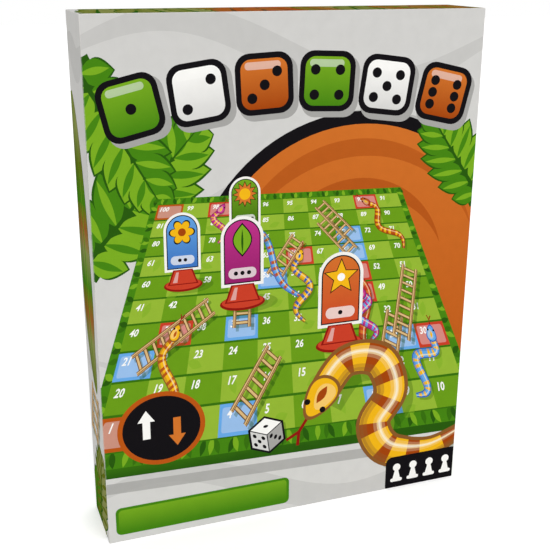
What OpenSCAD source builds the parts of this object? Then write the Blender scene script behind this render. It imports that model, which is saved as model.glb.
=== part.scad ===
// Boxed snakes and ladders game, standing on its bottom edge. The lid faces -Y, the base faces +Y.
// A lid and a base of greyboard wrapped in paper, a card insert, a folding board, a rules leaflet,
// four card pawns in plastic stands and a die. Millimetres, +Z up, origin under the box's middle.

/* [Box] */
// Width of the closed box
box_w = 203.2; // [180:0.1:260]
// Height of the closed box as it stands
box_h = 266.7; // [240:0.1:340]
// Depth of the closed box, front to back
box_d = 38.1; // [36:0.1:60]
// Thickness of the greyboard
board_t = 1.2; // [0.8:0.1:1.6]
// Thickness of the printed wrap paper with its glue
wrap_t = 0.2; // [0.1:0.05:0.3]
// How far the wrap is turned in over a rim
turn_in = 15; // [8:1:25]
// Clearance between the lid's walls and the base, each side
lid_fit = 0.8; // [0.4:0.1:1.2]
// Thickness of the paper tape on the corners
stay_t = 0.1; // [0.05:0.05:0.15]
// Reach of the corner tape along each wall
stay_w = 14; // [8:1:20]
// Cut between two walls where they meet at a corner
corner_cut = 0.2; // [0.1:0.05:0.4]

/* [Insert] */
// Thickness of the insert's card
insert_t = 0.6; // [0.4:0.1:1]
// Clear width of the well in the middle
well_w = 92; // [88:1:110]

/* [Board] */
// Thickness of a leaf's greyboard core
core_t = 1.8; // [1.5:0.1:2]
// Thickness of the printed face sheet
face_t = 0.15; // [0.1:0.05:0.2]
// Thickness of the backing paper
backing_t = 0.15; // [0.1:0.05:0.2]
// Border of backing paper left around the face sheet
face_margin = 1.5; // [0.5:0.5:5]
// Play between the folded board and the base's walls, each side
board_play = 2.1; // [1:0.1:5]
// Gap between the two printed faces when folded
fold_gap = 0.2; // [0.1:0.05:0.4]
// Distance from the hinge line to each leaf's edge
fold_edge = 0.3; // [0.2:0.05:0.6]

/* [Leaflet] */
// Width of the folded leaflet
leaflet_w = 148; // [100:1:160]
// Height of the folded leaflet
leaflet_h = 205; // [150:1:225]
// Thickness of its paper, two sheets together
leaflet_t = 0.2; // [0.1:0.05:0.2]

/* [Pawns] */
// Width of a pawn's card
card_w = 26; // [20:0.5:28]
// Height of a pawn's card above its stand
card_h = 42; // [30:1:60]
// Thickness of the pawn's card
card_t = 1.5; // [1:0.1:2]
// Width of the tab that stands in the clip
tab_w = 15; // [12:0.5:16]
// Length of a stand's foot
foot_w = 26; // [22:0.5:28]
// Width of a stand's foot, front to back
foot_d = 12; // [10:0.5:12]
// Thickness of a stand's foot
foot_t = 2.4; // [2:0.1:4]
// Height of the two jaws above the foot
jaw_h = 9; // [7:0.5:12]
// Thickness of a jaw
jaw_t = 2; // [1.6:0.1:2.4]
// Width of a jaw at its top
jaw_top_w = 14; // [12:0.5:18]
// Width of a jaw where it leaves the foot
jaw_foot_w = 22; // [20:0.5:22]
// Clearance between the card and each jaw
card_fit = 0.05; // [0.02:0.01:0.2]

/* [Die] */
// Edge of the die
die_edge = 16; // [14:0.5:18]
// How far each corner of the die is rounded off
die_corner_cut = 2.6; // [1:0.1:3.2]
// Diameter of a pip
pip_d = 2.8; // [2:0.1:3]
// Depth of a pip
pip_t = 0.4; // [0.2:0.1:0.8]
// Distance from a face's centre line to its outer pips
pip_pitch = 4; // [3.2:0.1:4]

/* [Clearances] */
// Gap under a piece that stands on the wall below it
seat_gap = 0.3; // [0.2:0.05:0.5]
// Gap between the base's rim and the lid's panel
rim_gap = 0.3; // [0.2:0.05:0.5]
// Gap between the folded board and the lid's panel
lid_gap = 0.5; // [0.3:0.05:0.8]
// Gap between two layers of the stack
layer_gap = 0.3; // [0.2:0.05:0.4]
// Gap between the insert and the base's walls
insert_gap = 0.3; // [0.2:0.05:1]
// Gap between two pieces side by side in the well
piece_gap = 3; // [2:0.1:4]

/* [Hidden] */
$fn = 64;
// Overrun of a cut through a face
over = 1;

// Skin over the greyboard, the whole wall, and the wall with its turned-in wrap
skin_t = wrap_t + stay_t;
wall_t = skin_t + board_t;
rim_t = wall_t + wrap_t;

// Lid and base, with the base standing on the lid's lower wall
front_y = -box_d / 2;
back_y = box_d / 2;
lid_panel_y = front_y + wall_t;
base_w = box_w - 2 * (rim_t + lid_fit);
base_h = box_h - 2 * (rim_t + lid_fit);
base_d = back_y - lid_panel_y - rim_gap;
base_z = rim_t + seat_gap;
base_in_w = base_w - 2 * rim_t;
base_in_h = base_h - 2 * rim_t;
floor_y = back_y - wall_t;

// Everything in the base stands on the turned-in wrap of its lower wall
seat_z = base_z + rim_t + seat_gap;

// Folded board
leaf_t = core_t + face_t + backing_t;
leaf_w = base_in_w - 2 * board_play;
leaf_h = base_in_h - 2 * board_play;
hinge_x = leaf_w / 2;
hinge_y = lid_panel_y + lid_gap + leaf_t + fold_gap / 2;

// Leaflet, then the insert, behind the board
leaflet_y = hinge_y + fold_gap / 2 + leaf_t + layer_gap;
leaflet_d = 3 * leaflet_t;
shelf_y = leaflet_y + leaflet_d + layer_gap;
insert_w = base_in_w - 2 * insert_gap;
insert_h = base_in_h - 2 * seat_gap;

// Well: two rows of two pawns and the die
well_front_y = shelf_y;
well_back_y = floor_y - insert_t;
row_gap = (well_back_y - well_front_y - 2 * foot_d) / 3;
column_pitch = foot_w + piece_gap;
first_x = -well_w / 2 + piece_gap + foot_w / 2;
die_x = first_x + column_pitch + foot_w / 2 + 2 * piece_gap + die_edge / 2;
die_y = (well_front_y + well_back_y) / 2;

// Pips of each face as places on a grid of one pitch, opposite faces adding up to seven
pip_grid_shares = [
    [[0, 0]],
    [[-1, -1], [1, 1]],
    [[-1, -1], [0, 0], [1, 1]],
    [[-1, -1], [-1, 1], [1, -1], [1, 1]],
    [[-1, -1], [-1, 1], [0, 0], [1, -1], [1, 1]],
    [[-1, -1], [-1, 0], [-1, 1], [1, -1], [1, 0], [1, 1]]
];
// Turn that brings each number's face to the top
pip_turns = [[0, 0, 0], [90, 0, 0], [0, 90, 0], [0, -90, 0], [-90, 0, 0], [180, 0, 0]];

card_colours = ["#e3a63a", "#6fb1e0", "#d57bb0", "#9ccc4a"];

// A block centred on x, standing on z, from y0 to y1
module block(w, h, y0, y1, z = 0) {
    translate([-w / 2, y0, z]) cube([w, y1 - y0, h]);
}

// The outside of a tray, drawn in by a margin, with its panel at y = 0 and its rim at d
module tray_space(w, h, y0, y1, margin) {
    block(w - 2 * margin, h - 2 * margin, y0, y1, margin);
}

// Greyboard: a panel and four walls, cut apart at the corners
module tray_board(w, h, d) {
    difference() {
        tray_space(w, h, skin_t, d - wrap_t, skin_t);
        tray_space(w, h, wall_t, d, wall_t);
        for (side = [-1, 1], end_z = [0, h - wall_t])
            translate([side * (w / 2 - wall_t - corner_cut / 2) - corner_cut / 2, wall_t, end_z])
                cube([corner_cut, d, wall_t]);
    }
}

// Tape: an L over each corner, on the greyboard's outside
module tray_stays(w, h, d) {
    difference() {
        tray_space(w, h, skin_t, d - wrap_t, wrap_t);
        tray_space(w, h, 0, d, skin_t);
        block(w - 2 * (wrap_t + stay_w), h, 0, d);
        block(w, h - 2 * (wrap_t + stay_w), 0, d, wrap_t + stay_w);
    }
}

// Wrap: the whole outside, over the rim and down the inside of the walls
module tray_wrap(w, h, d) {
    difference() {
        union() {
            difference() {
                tray_space(w, h, 0, d, 0);
                tray_space(w, h, skin_t, d + over, skin_t);
            }
            difference() {
                tray_space(w, h, d - wrap_t, d, 0);
                tray_space(w, h, 0, d + over, rim_t);
            }
            difference() {
                tray_space(w, h, d - turn_in, d, wall_t);
                tray_space(w, h, 0, d + over, rim_t);
            }
        }
        tray_stays(w, h, d);
    }
}

module in_lid() {
    translate([0, front_y, 0]) children();
}

module in_base() {
    translate([0, back_y, base_z]) mirror([0, 1, 0]) children();
}

module base_board() {
    color("#8f8b84") in_base() tray_board(base_w, base_h, base_d);
}

module base_wrap() {
    color("#6a9a2c") in_base() tray_wrap(base_w, base_h, base_d);
}

module base_corner_stays() {
    color("#c9b48c") in_base() tray_stays(base_w, base_h, base_d);
}

module lid_board() {
    color("#8f8b84") in_lid() tray_board(box_w, box_h, box_d);
}

module lid_wrap() {
    color("#d0d0ce") in_lid() tray_wrap(box_w, box_h, box_d);
}

module lid_corner_stays() {
    color("#c9b48c") in_lid() tray_stays(box_w, box_h, box_d);
}

// Insert: one card folded into a well between two shelves, standing on the base's panel
module insert() {
    leg_x = insert_w / 2;
    color("#e9e6df") translate([0, 0, seat_z]) difference() {
        block(insert_w, insert_h, shelf_y, floor_y);
        block(well_w, insert_h + 2 * over, shelf_y - over, floor_y - insert_t, -over);
        for (side = [-1, 1]) {
            near_x = side * (well_w / 2 + insert_t);
            far_x = side * (leg_x - insert_t);
            translate([min(near_x, far_x), shelf_y + insert_t, -over])
                cube([abs(far_x - near_x), floor_y - shelf_y, insert_h + 2 * over]);
        }
    }
}

// A leaf of the board, lying along -x from its hinge on the z axis, with its printed face to -y
module leaf_space(margin, y0, y1) {
    translate([-leaf_w + margin, y0, margin])
        cube([leaf_w - fold_edge - margin, y1 - y0, leaf_h - 2 * margin]);
}

module leaf_core() {
    translate([-leaf_w + backing_t, fold_gap / 2 + face_t, backing_t])
        cube([leaf_w - fold_edge - 2 * backing_t, core_t, leaf_h - 2 * backing_t]);
}

module leaf_face() {
    leaf_space(face_margin, fold_gap / 2, fold_gap / 2 + face_t);
}

// Backing: the back, the edges and a border round the face sheet, which runs out over the fold
module leaf_backing() {
    difference() {
        leaf_space(0, fold_gap / 2, fold_gap / 2 + leaf_t);
        leaf_core();
        translate([face_margin - leaf_w, -over, face_margin])
            cube([leaf_w, over + fold_gap / 2 + face_t, leaf_h - 2 * face_margin]);
    }
}

module in_back_leaf() {
    translate([hinge_x, hinge_y, seat_z]) children();
}

module in_front_leaf() {
    translate([hinge_x, hinge_y, seat_z]) mirror([0, 1, 0]) children();
}

module back_leaf_core() {
    color("#8f8b84") in_back_leaf() leaf_core();
}

module back_leaf_face() {
    color("#79b02a") in_back_leaf() leaf_face();
}

module back_leaf_backing() {
    color("#3f7d1c") in_back_leaf() leaf_backing();
}

module front_leaf_core() {
    color("#8f8b84") in_front_leaf() leaf_core();
}

module front_leaf_face() {
    color("#79b02a") in_front_leaf() leaf_face();
}

module front_leaf_backing() {
    color("#3f7d1c") in_front_leaf() leaf_backing();
}

// Leaflet: two leaves and a round fold at the left
module rules_leaflet() {
    bend_r = leaflet_d / 2;
    color("#f1efe8") translate([-leaflet_w / 2 + bend_r, leaflet_y, seat_z]) {
        for (y = [0, leaflet_d - leaflet_t])
            translate([0, y, 0]) cube([leaflet_w - bend_r, leaflet_t, leaflet_h]);
        translate([0, bend_r, 0]) difference() {
            cylinder(r = bend_r, h = leaflet_h);
            translate([0, 0, -over]) cylinder(r = bend_r - leaflet_t, h = leaflet_h + 2 * over);
            translate([0, -leaflet_d, -over])
                cube([leaflet_d, 2 * leaflet_d, leaflet_h + 2 * over]);
        }
    }
}

// Where pawn k stands: two columns, two rows
function pawn_x(k) = first_x + (k % 2) * column_pitch;
function pawn_y(k) = well_front_y + row_gap + foot_d / 2 + floor(k / 2) * (foot_d + row_gap);

// The base's wall is lower behind the turned-in wrap
function pawn_z(k) =
    pawn_y(k) - foot_d / 2 > back_y - base_d + turn_in ? seat_z - wrap_t : seat_z;

module at_pawn(k) {
    translate([pawn_x(k), pawn_y(k), pawn_z(k)]) children();
}

// Card: a round-headed figure blank with a tab that goes down into the clip
module pawn_card(k) {
    color(card_colours[k]) at_pawn(k) translate([0, card_t / 2, foot_t]) rotate([90, 0, 0])
        linear_extrude(card_t) {
            translate([-tab_w / 2, 0]) square([tab_w, jaw_h + over]);
            translate([-card_w / 2, jaw_h]) square([card_w, card_h - card_w / 2]);
            translate([0, jaw_h + card_h - card_w / 2]) circle(d = card_w);
        }
}

// Stand: a foot with round ends and two jaws
module pawn_stand(k) {
    end_r = foot_d / 2;
    slot_t = card_t + 2 * card_fit;
    color("#b3151a") at_pawn(k) {
        linear_extrude(foot_t) {
            square([foot_w - foot_d, foot_d], center = true);
            for (side = [-1, 1]) translate([side * (foot_w / 2 - end_r), 0]) circle(r = end_r);
        }
        for (side = [-1, 1])
            translate([0, side * (slot_t + jaw_t) / 2 + jaw_t / 2, foot_t]) rotate([90, 0, 0])
                linear_extrude(jaw_t)
                    polygon([
                        [-jaw_foot_w / 2, 0], [jaw_foot_w / 2, 0],
                        [jaw_top_w / 2, jaw_h], [-jaw_top_w / 2, jaw_h]
                    ]);
    }
}

module at_die() {
    translate([die_x, die_y, seat_z + die_edge / 2]) children();
}

// Pips of all six faces, each a short plug let into its face
module pip_plugs(rise = 0) {
    for (number = [1:6], place = pip_grid_shares[number - 1])
        rotate(pip_turns[number - 1])
            translate([place[0] * pip_pitch, place[1] * pip_pitch, die_edge / 2 - pip_t])
                cylinder(d = pip_d, h = pip_t + rise);
}

module die_cube() {
    color("#f4f2ea") at_die() difference() {
        intersection() {
            cube(die_edge, center = true);
            sphere(r = die_edge * sqrt(3) / 2 - die_corner_cut);
        }
        pip_plugs(over);
    }
}

module die_pips() {
    color("#1c1c1c") at_die() pip_plugs();
}

base_board();
base_wrap();
base_corner_stays();
insert();
lid_board();
lid_wrap();
lid_corner_stays();
rules_leaflet();
back_leaf_core();
back_leaf_face();
back_leaf_backing();
front_leaf_core();
front_leaf_face();
front_leaf_backing();
pawn_card(0);  // pawn_card_1
pawn_card(1);  // pawn_card_2
pawn_card(2);  // pawn_card_3
pawn_card(3);  // pawn_card_4
pawn_stand(0);  // pawn_stand_1
pawn_stand(1);  // pawn_stand_2
pawn_stand(2);  // pawn_stand_3
pawn_stand(3);  // pawn_stand_4
die_cube();
die_pips();
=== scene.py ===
import math
from functools import cache

import bmesh
import bpy
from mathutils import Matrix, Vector
from mathutils.geometry import delaunay_2d_cdt
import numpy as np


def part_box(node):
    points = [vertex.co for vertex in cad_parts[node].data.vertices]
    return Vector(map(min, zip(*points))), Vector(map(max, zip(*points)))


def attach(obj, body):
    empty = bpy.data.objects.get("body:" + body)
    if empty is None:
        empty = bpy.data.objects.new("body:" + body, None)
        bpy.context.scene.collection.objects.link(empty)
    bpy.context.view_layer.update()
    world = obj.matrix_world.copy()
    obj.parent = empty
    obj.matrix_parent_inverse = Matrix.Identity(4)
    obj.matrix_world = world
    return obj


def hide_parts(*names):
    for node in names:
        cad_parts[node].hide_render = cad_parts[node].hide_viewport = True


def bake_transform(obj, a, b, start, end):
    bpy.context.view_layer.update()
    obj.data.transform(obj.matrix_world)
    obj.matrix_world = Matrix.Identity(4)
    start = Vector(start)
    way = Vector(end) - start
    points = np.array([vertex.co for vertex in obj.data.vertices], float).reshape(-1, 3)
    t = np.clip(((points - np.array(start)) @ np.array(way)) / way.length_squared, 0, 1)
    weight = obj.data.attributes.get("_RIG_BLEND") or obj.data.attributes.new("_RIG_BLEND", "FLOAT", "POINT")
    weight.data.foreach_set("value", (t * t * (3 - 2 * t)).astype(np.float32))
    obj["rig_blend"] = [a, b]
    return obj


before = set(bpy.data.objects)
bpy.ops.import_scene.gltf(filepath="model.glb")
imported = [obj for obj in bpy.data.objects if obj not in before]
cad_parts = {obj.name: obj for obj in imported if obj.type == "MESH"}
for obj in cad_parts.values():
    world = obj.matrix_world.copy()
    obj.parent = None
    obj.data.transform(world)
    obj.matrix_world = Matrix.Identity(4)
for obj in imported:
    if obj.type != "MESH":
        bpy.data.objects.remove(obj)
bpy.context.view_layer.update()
mm = 0.001
print("frame loaded")

# Stock thicknesses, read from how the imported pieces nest
lidLow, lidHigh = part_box("lid_wrap")
baseLow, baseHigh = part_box("base_wrap")
stock = {
    "wrap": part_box("lid_corner_stays")[0].x - lidLow.x,
    "wall": baseHigh.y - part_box("insert")[1].y,
    "turnIn": 15 * mm,
}
stock["rim"] = stock["wall"] + stock["wrap"]

# Printing inks, as sRGB
inks = {
    "paper": "#f3f1ec",
    "black": "#171518",
    "white": "#fbfaf6",
    "ground": "#cfcecb",
    "groundLight": "#d6d5d2",
    "groundDark": "#a6a5a2",
    "orange": "#b95618",
    "orangeDeep": "#a34511",
    "orangeLight": "#d3752e",
    "yellow": "#f2b71c",
    "cream": "#ffedb8",
    "leafDark": "#2a5a12",
    "moss": "#66701f",
    "olive": "#8b9055",
    "rust": "#9c612c",
    "leaf": "#468416",
    "leafLight": "#7aac24",
    "cellLight": "#94b737",
    "cellDark": "#6a9b1c",
    "rowLine": "#397013",
    "red": "#c9402a",
    "redDeep": "#8f1a14",
    "blue": "#69a9e6",
    "blueDeep": "#2f62b5",
    "pink": "#c4378c",
    "pinkDeep": "#861c60",
    "tan": "#dcb981",
    "tanDark": "#8a5a2c",
    "brown": "#6b4522",
}


def toLinear(colour):
    parts = [int(colour[i:i + 2], 16) / 255 for i in (1, 3, 5)]
    return [p / 12.92 if p <= 0.04045 else ((p + 0.055) / 1.055) ** 2.4 for p in parts]


# Shades: a linear colour with its cover, or a rule that gives them at a place on the sheet, in millimetres
def flat(inkName, cover=1.0):
    return {"rgba": (*toLinear(inks[inkName]), cover), "full": cover >= 1}


def ramp(lowInk, highInk, start, end, place=None):
    low, high = toLinear(inks[lowInk]), toLinear(inks[highInk])
    start, end = (place(*start), place(*end)) if place else (start, end)
    run = (end[0] - start[0], end[1] - start[1])
    length = run[0] ** 2 + run[1] ** 2

    def at(a, b):
        share = ((a - start[0]) * run[0] + (b - start[1]) * run[1]) / length
        share = max(0, min(1, share))
        return (*[p + (q - p) * share for p, q in zip(low, high)], 1.0)

    return {"at": at, "full": True}


# A printed sheet is a size and a pile of inked outlines, lowest first
def newSheet(width, height):
    return {"size": (width, height), "layers": []}


cutting = {"leastArea": 1e-4, "snap": 1e-4, "onEdge": 2e-3, "spill": 0.1}  # mm, and mm2 for the area


def areaOf(points):
    return sum(p[0] * q[1] - q[0] * p[1] for p, q in zip(points, points[1:] + points[:1])) / 2


def ink(sheet, outline, shade, place=None):
    points = [place(*p) for p in outline] if place else list(outline)
    shade = flat(shade) if isinstance(shade, str) else shade
    whole, parts = areaOf(points), [points]
    halves = [points[:3], points[2:] + points[:1]]
    if len(points) == 4 and min(areaOf(half) * whole for half in halves) <= 0:
        parts = halves  # a quad folded over itself in a tight bend
    for part in parts:
        area = areaOf(part)
        if abs(area) > cutting["leastArea"]:
            sheet["layers"].append((part if area > 0 else part[::-1], shade))


# Outlines, drawn round the origin and then set in place
def rectangle(lowA, lowB, highA, highB):
    return [(lowA, lowB), (highA, lowB), (highA, highB), (lowA, highB)]


def ellipse(radiusA, radiusB=None, points=36, start=0, sweep=360):
    steps = points if sweep == 360 else points + 1
    turns = [math.radians(start + sweep * i / points) for i in range(steps)]
    return [(radiusA * math.cos(t), (radiusB or radiusA) * math.sin(t)) for t in turns]


def roundedBox(width, height, radius, points=6):
    outline = []
    for i, (sideA, sideB) in enumerate([(1, 1), (-1, 1), (-1, -1), (1, -1)]):
        arc = ellipse(radius, radius, points, 90 * i, 90)
        outline += [(sideA * (width / 2 - radius) + a, sideB * (height / 2 - radius) + b) for a, b in arc]
    return outline


def star(tips, radius, innerShare):
    turns = [math.pi / 2 + math.pi * i / tips for i in range(2 * tips)]
    radii = [radius, radius * innerShare] * tips
    return [(r * math.cos(t), r * math.sin(t)) for r, t in zip(radii, turns)]


def blade(length, width, points=12, belly=0.5):
    # a pointed leaf from the origin along +a, widest at the share belly
    shares = [i / points for i in range(points + 1)]
    power = math.log(0.5) / math.log(belly)
    half = [width / 2 * math.sin(math.pi * s ** power) for s in shares]
    upper = [(length * s, h) for s, h in zip(shares, half)]
    lower = [(length * s, -h) for s, h in zip(shares, half)]
    return lower + upper[-2:0:-1]


def setAt(outline, centre, turn=0, scale=1):
    c, s = scale * math.cos(math.radians(turn)), scale * math.sin(math.radians(turn))
    return [(centre[0] + a * c - b * s, centre[1] + a * s + b * c) for a, b in outline]


def placer(centre, turn=0, scale=1):
    return lambda a, b: setAt([(a, b)], centre, turn, scale)[0]


def between(start, end, share):
    return (start[0] + (end[0] - start[0]) * share, start[1] + (end[1] - start[1]) * share)


def heading(start, end):
    # the distance, the unit step along and the unit step to the left of it
    run = math.hypot(end[0] - start[0], end[1] - start[1])
    along = ((end[0] - start[0]) / run, (end[1] - start[1]) / run)
    return run, along, (-along[1], along[0])


def smoothPath(knots, pieces):
    ends = [knots[0], *knots, knots[-1]]
    path = []
    for quad in zip(ends, ends[1:], ends[2:], ends[3:]):
        for i in range(pieces):
            t = i / pieces
            path.append(tuple(
                0.5 * (2 * q + (r - p) * t + (2 * p - 5 * q + 4 * r - s) * t ** 2
                       + (3 * q - p - 3 * r + s) * t ** 3)
                for p, q, r, s in zip(*quad)
            ))
    return path + [tuple(knots[-1])]


def wavyPath(start, end, waves, swing, pieces=44):
    _, _, side = heading(start, end)
    path = []
    for i in range(pieces + 1):
        share = i / pieces
        sway = swing * math.sin(math.tau * waves * share) * math.sin(math.pi * min(1, share * 4) / 2)
        a, b = between(start, end, share)
        path.append((a + side[0] * sway, b + side[1] * sway))
    return path


def ribbon(path, width, shift=0.0):
    # quads along a path; width is a size, or a rule that gives it at a share of the way along
    rims = []
    for i, (a, b) in enumerate(path):
        _, _, side = heading(path[max(i - 1, 0)], path[min(i + 1, len(path) - 1)])
        wide = width(i / (len(path) - 1)) if callable(width) else width
        reaches = [wide * (shift + half) for half in (-0.5, 0.5)]
        rims.append([(a + side[0] * reach, b + side[1] * reach) for reach in reaches])
    return [[low[0], high[0], high[1], low[1]] for low, high in zip(rims, rims[1:])]


def inkRibbon(sheet, path, width, shade, place=None, shift=0.0):
    for quad in ribbon(path, width, shift):
        ink(sheet, quad, shade, place)


def onQuad(corners, width, height):
    # where a flat picture of that size lands when it is seen in perspective on four corners
    (x0, y0), (x1, y1), (x2, y2), (x3, y3) = corners
    dx1, dx2, dx3 = x1 - x2, x3 - x2, x0 - x1 + x2 - x3
    dy1, dy2, dy3 = y1 - y2, y3 - y2, y0 - y1 + y2 - y3
    det = dx1 * dy2 - dx2 * dy1
    g, h = (dx3 * dy2 - dx2 * dy3) / det, (dx1 * dy3 - dx3 * dy1) / det

    def place(a, b):
        s, t = a / width, b / height
        k = g * s + h * t + 1
        x = (x1 - x0 + g * x1) * s + (x3 - x0 + h * x3) * t + x0
        y = (y1 - y0 + g * y1) * s + (y3 - y0 + h * y3) * t + y0
        return x / k, y / k

    return place


figures = {"bold": 0.025, "slant": 0.22, "share": 0.72}  # share: a figure's height in the type's size


@cache
def numeral(number):
    # triangles of a slanted bold number, centred on the origin
    curve = bpy.data.curves.new("numeral", "FONT")
    curve.body = str(number)
    curve.align_x, curve.align_y = "CENTER", "CENTER"
    curve.offset, curve.shear, curve.resolution_u = figures["bold"], figures["slant"], 2
    holder = bpy.data.objects.new("numeral", curve)
    mesh = bpy.data.meshes.new_from_object(holder)
    corners = [tuple(v.co)[:2] for v in mesh.vertices]
    triangles = [[corners[i] for i in p.vertices] for p in mesh.polygons]
    bpy.data.meshes.remove(mesh)
    bpy.data.objects.remove(holder)
    bpy.data.curves.remove(curve)
    return triangles


def printNumber(sheet, number, centre, height, shade, place=None):
    for triangle in numeral(number):
        ink(sheet, setAt(triangle, centre, 0, height / figures["share"]), shade, place)


# Leaves and ladders. Sizes are shares of the width that each is drawn at, but midrib, outline and rungGap are
# millimetres, and lean is degrees
frond = {"stem": 0.6, "midrib": 2.2, "overlap": 1.25, "outline": 0.9, "lean": (68, 34), "rib": 0.28}
ladder = {"rail": 0.13, "rung": 0.11, "rungOut": 0.62, "rungGap": 8.5, "shadow": (0.22, -0.2)}


def drawFrond(sheet, root, tip, width, leaflets, tones=("leafDark", "leaf", "leafLight")):
    # a stem with pairs of pointed leaflets, dark below and light above
    dark, middle, light = tones
    run, _, _ = heading(root, tip)
    turn = math.degrees(math.atan2(tip[1] - root[1], tip[0] - root[0]))
    wide = frond["overlap"] * run / leaflets
    inkRibbon(sheet, [root, tip], lambda share: width * frond["stem"] * (1 - share) + 1, dark)
    for i in range(leaflets):
        share = (i + 0.6) / (leaflets + 0.3)
        reach = width * math.sin(math.pi * (0.15 + 0.8 * share)) ** 0.8
        spot = between(root, tip, share)
        for side, face, rib in ((-1, light, middle), (1, middle, light)):
            lean = turn + side * (frond["lean"][0] - frond["lean"][1] * share)
            ink(sheet, setAt(blade(reach, wide + frond["outline"]), spot, lean), dark)
            ink(sheet, setAt(blade(reach * 0.95, wide, belly=0.45), spot, lean), face)
            ink(sheet, setAt(blade(reach * 0.85, wide * frond["rib"]), spot, lean + side * 5), rib)
    inkRibbon(sheet, [root, tip], lambda share: frond["midrib"] * (1.2 - share), dark)


def drawLadder(sheet, foot, head, width, place=None):
    run, along, side = heading(foot, head)
    rail, rung = width * ladder["rail"], width * ladder["rung"]

    def at(distance, across):
        return tuple(f + u * distance + s * across for f, u, s in zip(foot, along, side))

    def bar(ends, thick, shade, shift=(0, 0)):
        inkRibbon(sheet, [(a + shift[0], b + shift[1]) for a, b in ends], thick, shade, place)

    out = width * ladder["rungOut"]
    count = max(2, round(run / ladder["rungGap"]))
    rails = [(at(0, s * width / 2), at(run, s * width / 2)) for s in (-1, 1)]
    rungs = [[at(run * (i + 0.5) / count, across) for across in (-out, out)] for i in range(count)]
    for ends in rails + rungs:
        bar(ends, rail * 1.5, flat("leafDark", 0.45), [width * s for s in ladder["shadow"]])
    for ends in rungs:
        bar(ends, rung * 1.9, "brown")
        bar(ends, rung * 1.1, "tan")
    for ends in rails:
        bar(ends, rail * 1.8, "brown")
        bar(ends, rail * 1.15, "tan")
        bar(ends, rail * 0.35, "tanDark", (rail * 0.25, 0))


# Snakes. Shares of the body's width, then of the head's size; each strip has a breadth, a shift and a shade
snake = {
    "shadow": (0.35, -0.4),
    "edge": 0.26,
    "strips": [(0.24, -1.5, ("edge", 0.4)), (0.18, 1.2, ("cream", 0.55))],
    "roundedStrips": [(0.12, -3.6, ("edge", 0.4)), (0.42, 0.5, ("cream", 0.16)), (0.07, 3.2, ("white", 0.5))],
    "tongue": [[(0.7, 0), (1.35, 0)], [(1.3, 0), (1.7, 0.22)], [(1.3, 0), (1.7, -0.22)]],
    "mark": (0.62, 0.26, -0.35),
    "eye": (0.36, 0.3, 0.1),
}


def drawSnake(sheet, path, width, colours, place=None, bands=14, head=1.5, rounded=False):
    # a banded body with a dark edge, a shaded belly side and a light back
    body, edge, band = colours

    def taper(share):
        return width * min(1, 0.25 + 3.2 * (1 - share)) * (0.85 + 0.15 * math.sin(math.pi * share))

    shadow = [(a + width * snake["shadow"][0], b + width * snake["shadow"][1]) for a, b in path]
    inkRibbon(sheet, shadow, taper, flat("leafDark", 0.4), place)
    inkRibbon(sheet, path, lambda share: taper(share) + width * snake["edge"], edge, place)
    quads = ribbon(path, taper)
    for i, quad in enumerate(quads):
        striped = math.sin(math.tau * bands * i / len(quads)) > 0.35
        ink(sheet, quad, band if striped else body, place)
    for breadth, shift, (tone, cover) in snake["strips"] + (snake["roundedStrips"] if rounded else []):
        shade = flat(edge if tone == "edge" else tone, cover)
        inkRibbon(sheet, path, lambda share: taper(share) * breadth, shade, place, shift)
    drawSnakeHead(sheet, path, width * head, colours, place, 48 if rounded else 24)


def drawSnakeHead(sheet, path, size, colours, place, points):
    # a plain wedge seen from above, with a forked tongue
    body, edge, band = colours
    (a, b), (c, d) = path[0], path[2]
    turn = math.degrees(math.atan2(b - d, a - c))
    onHead = placer((a, b), turn, size)
    for fork in snake["tongue"]:
        inkRibbon(sheet, setAt(fork, (a, b), turn, size), size * 0.1, "redDeep", place)
    wedge = [(p * (1 if p > 0 else 0.8), q * (1 - 0.28 * p)) for p, q in ellipse(1, 0.62, points)]
    for scale, tone in ((0.86, edge), (0.73, body)):
        ink(sheet, setAt(wedge, (a, b), turn, size * scale), tone, place)
    ink(sheet, setAt(setAt(wedge, (-0.05, 0.1), 0, 0.5), (a, b), turn, size), flat("cream", 0.3), place)
    length, breadth, back = snake["mark"]
    ink(sheet, setAt(blade(length, breadth), onHead(back, 0), turn, size), band, place)
    ahead, aside, radius = snake["eye"]
    for side in (-1, 1):
        ink(sheet, setAt(ellipse(size * radius, points=12), onHead(ahead, aside * side)), "black", place)


# The playing board, in millimetres: ten rows of ten cells, numbered back and forth from the lower left
board = {
    "leafW": 190.6,
    "height": 254.1,
    "border": 9,
    "borderLeaf": 5.2,
    "cellGap": 0.9,
    "numberH": 6.4,
    "ladderW": 17,
    "snakeW": 7,
    "ladders": [(4, 25), (8, 32), (21, 43), (29, 51), (37, 64), (56, 75), (68, 87), (73, 94)],
    "snakes": [
        (98, 78, "pink", "pinkDeep", "yellow"),
        (92, 70, "orange", "redDeep", "yellow"),
        (84, 46, "blue", "blueDeep", "orange"),
        (66, 35, "yellow", "tanDark", "blueDeep"),
        (53, 13, "red", "redDeep", "orangeLight"),
        (48, 28, "pink", "pinkDeep", "blue"),
        (39, 2, "yellow", "tanDark", "orange"),
        (30, 9, "blue", "blueDeep", "yellow"),
    ],
}
board["width"] = 2 * board["leafW"]
board["cellW"] = (board["width"] - 2 * board["border"]) / 10
board["cellH"] = (board["height"] - 2 * board["border"]) / 10


def cellCentre(number):
    row, step = divmod(number - 1, 10)
    column = step if row % 2 == 0 else 9 - step
    return (board["border"] + (column + 0.5) * board["cellW"], board["border"] + (row + 0.5) * board["cellH"])


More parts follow.
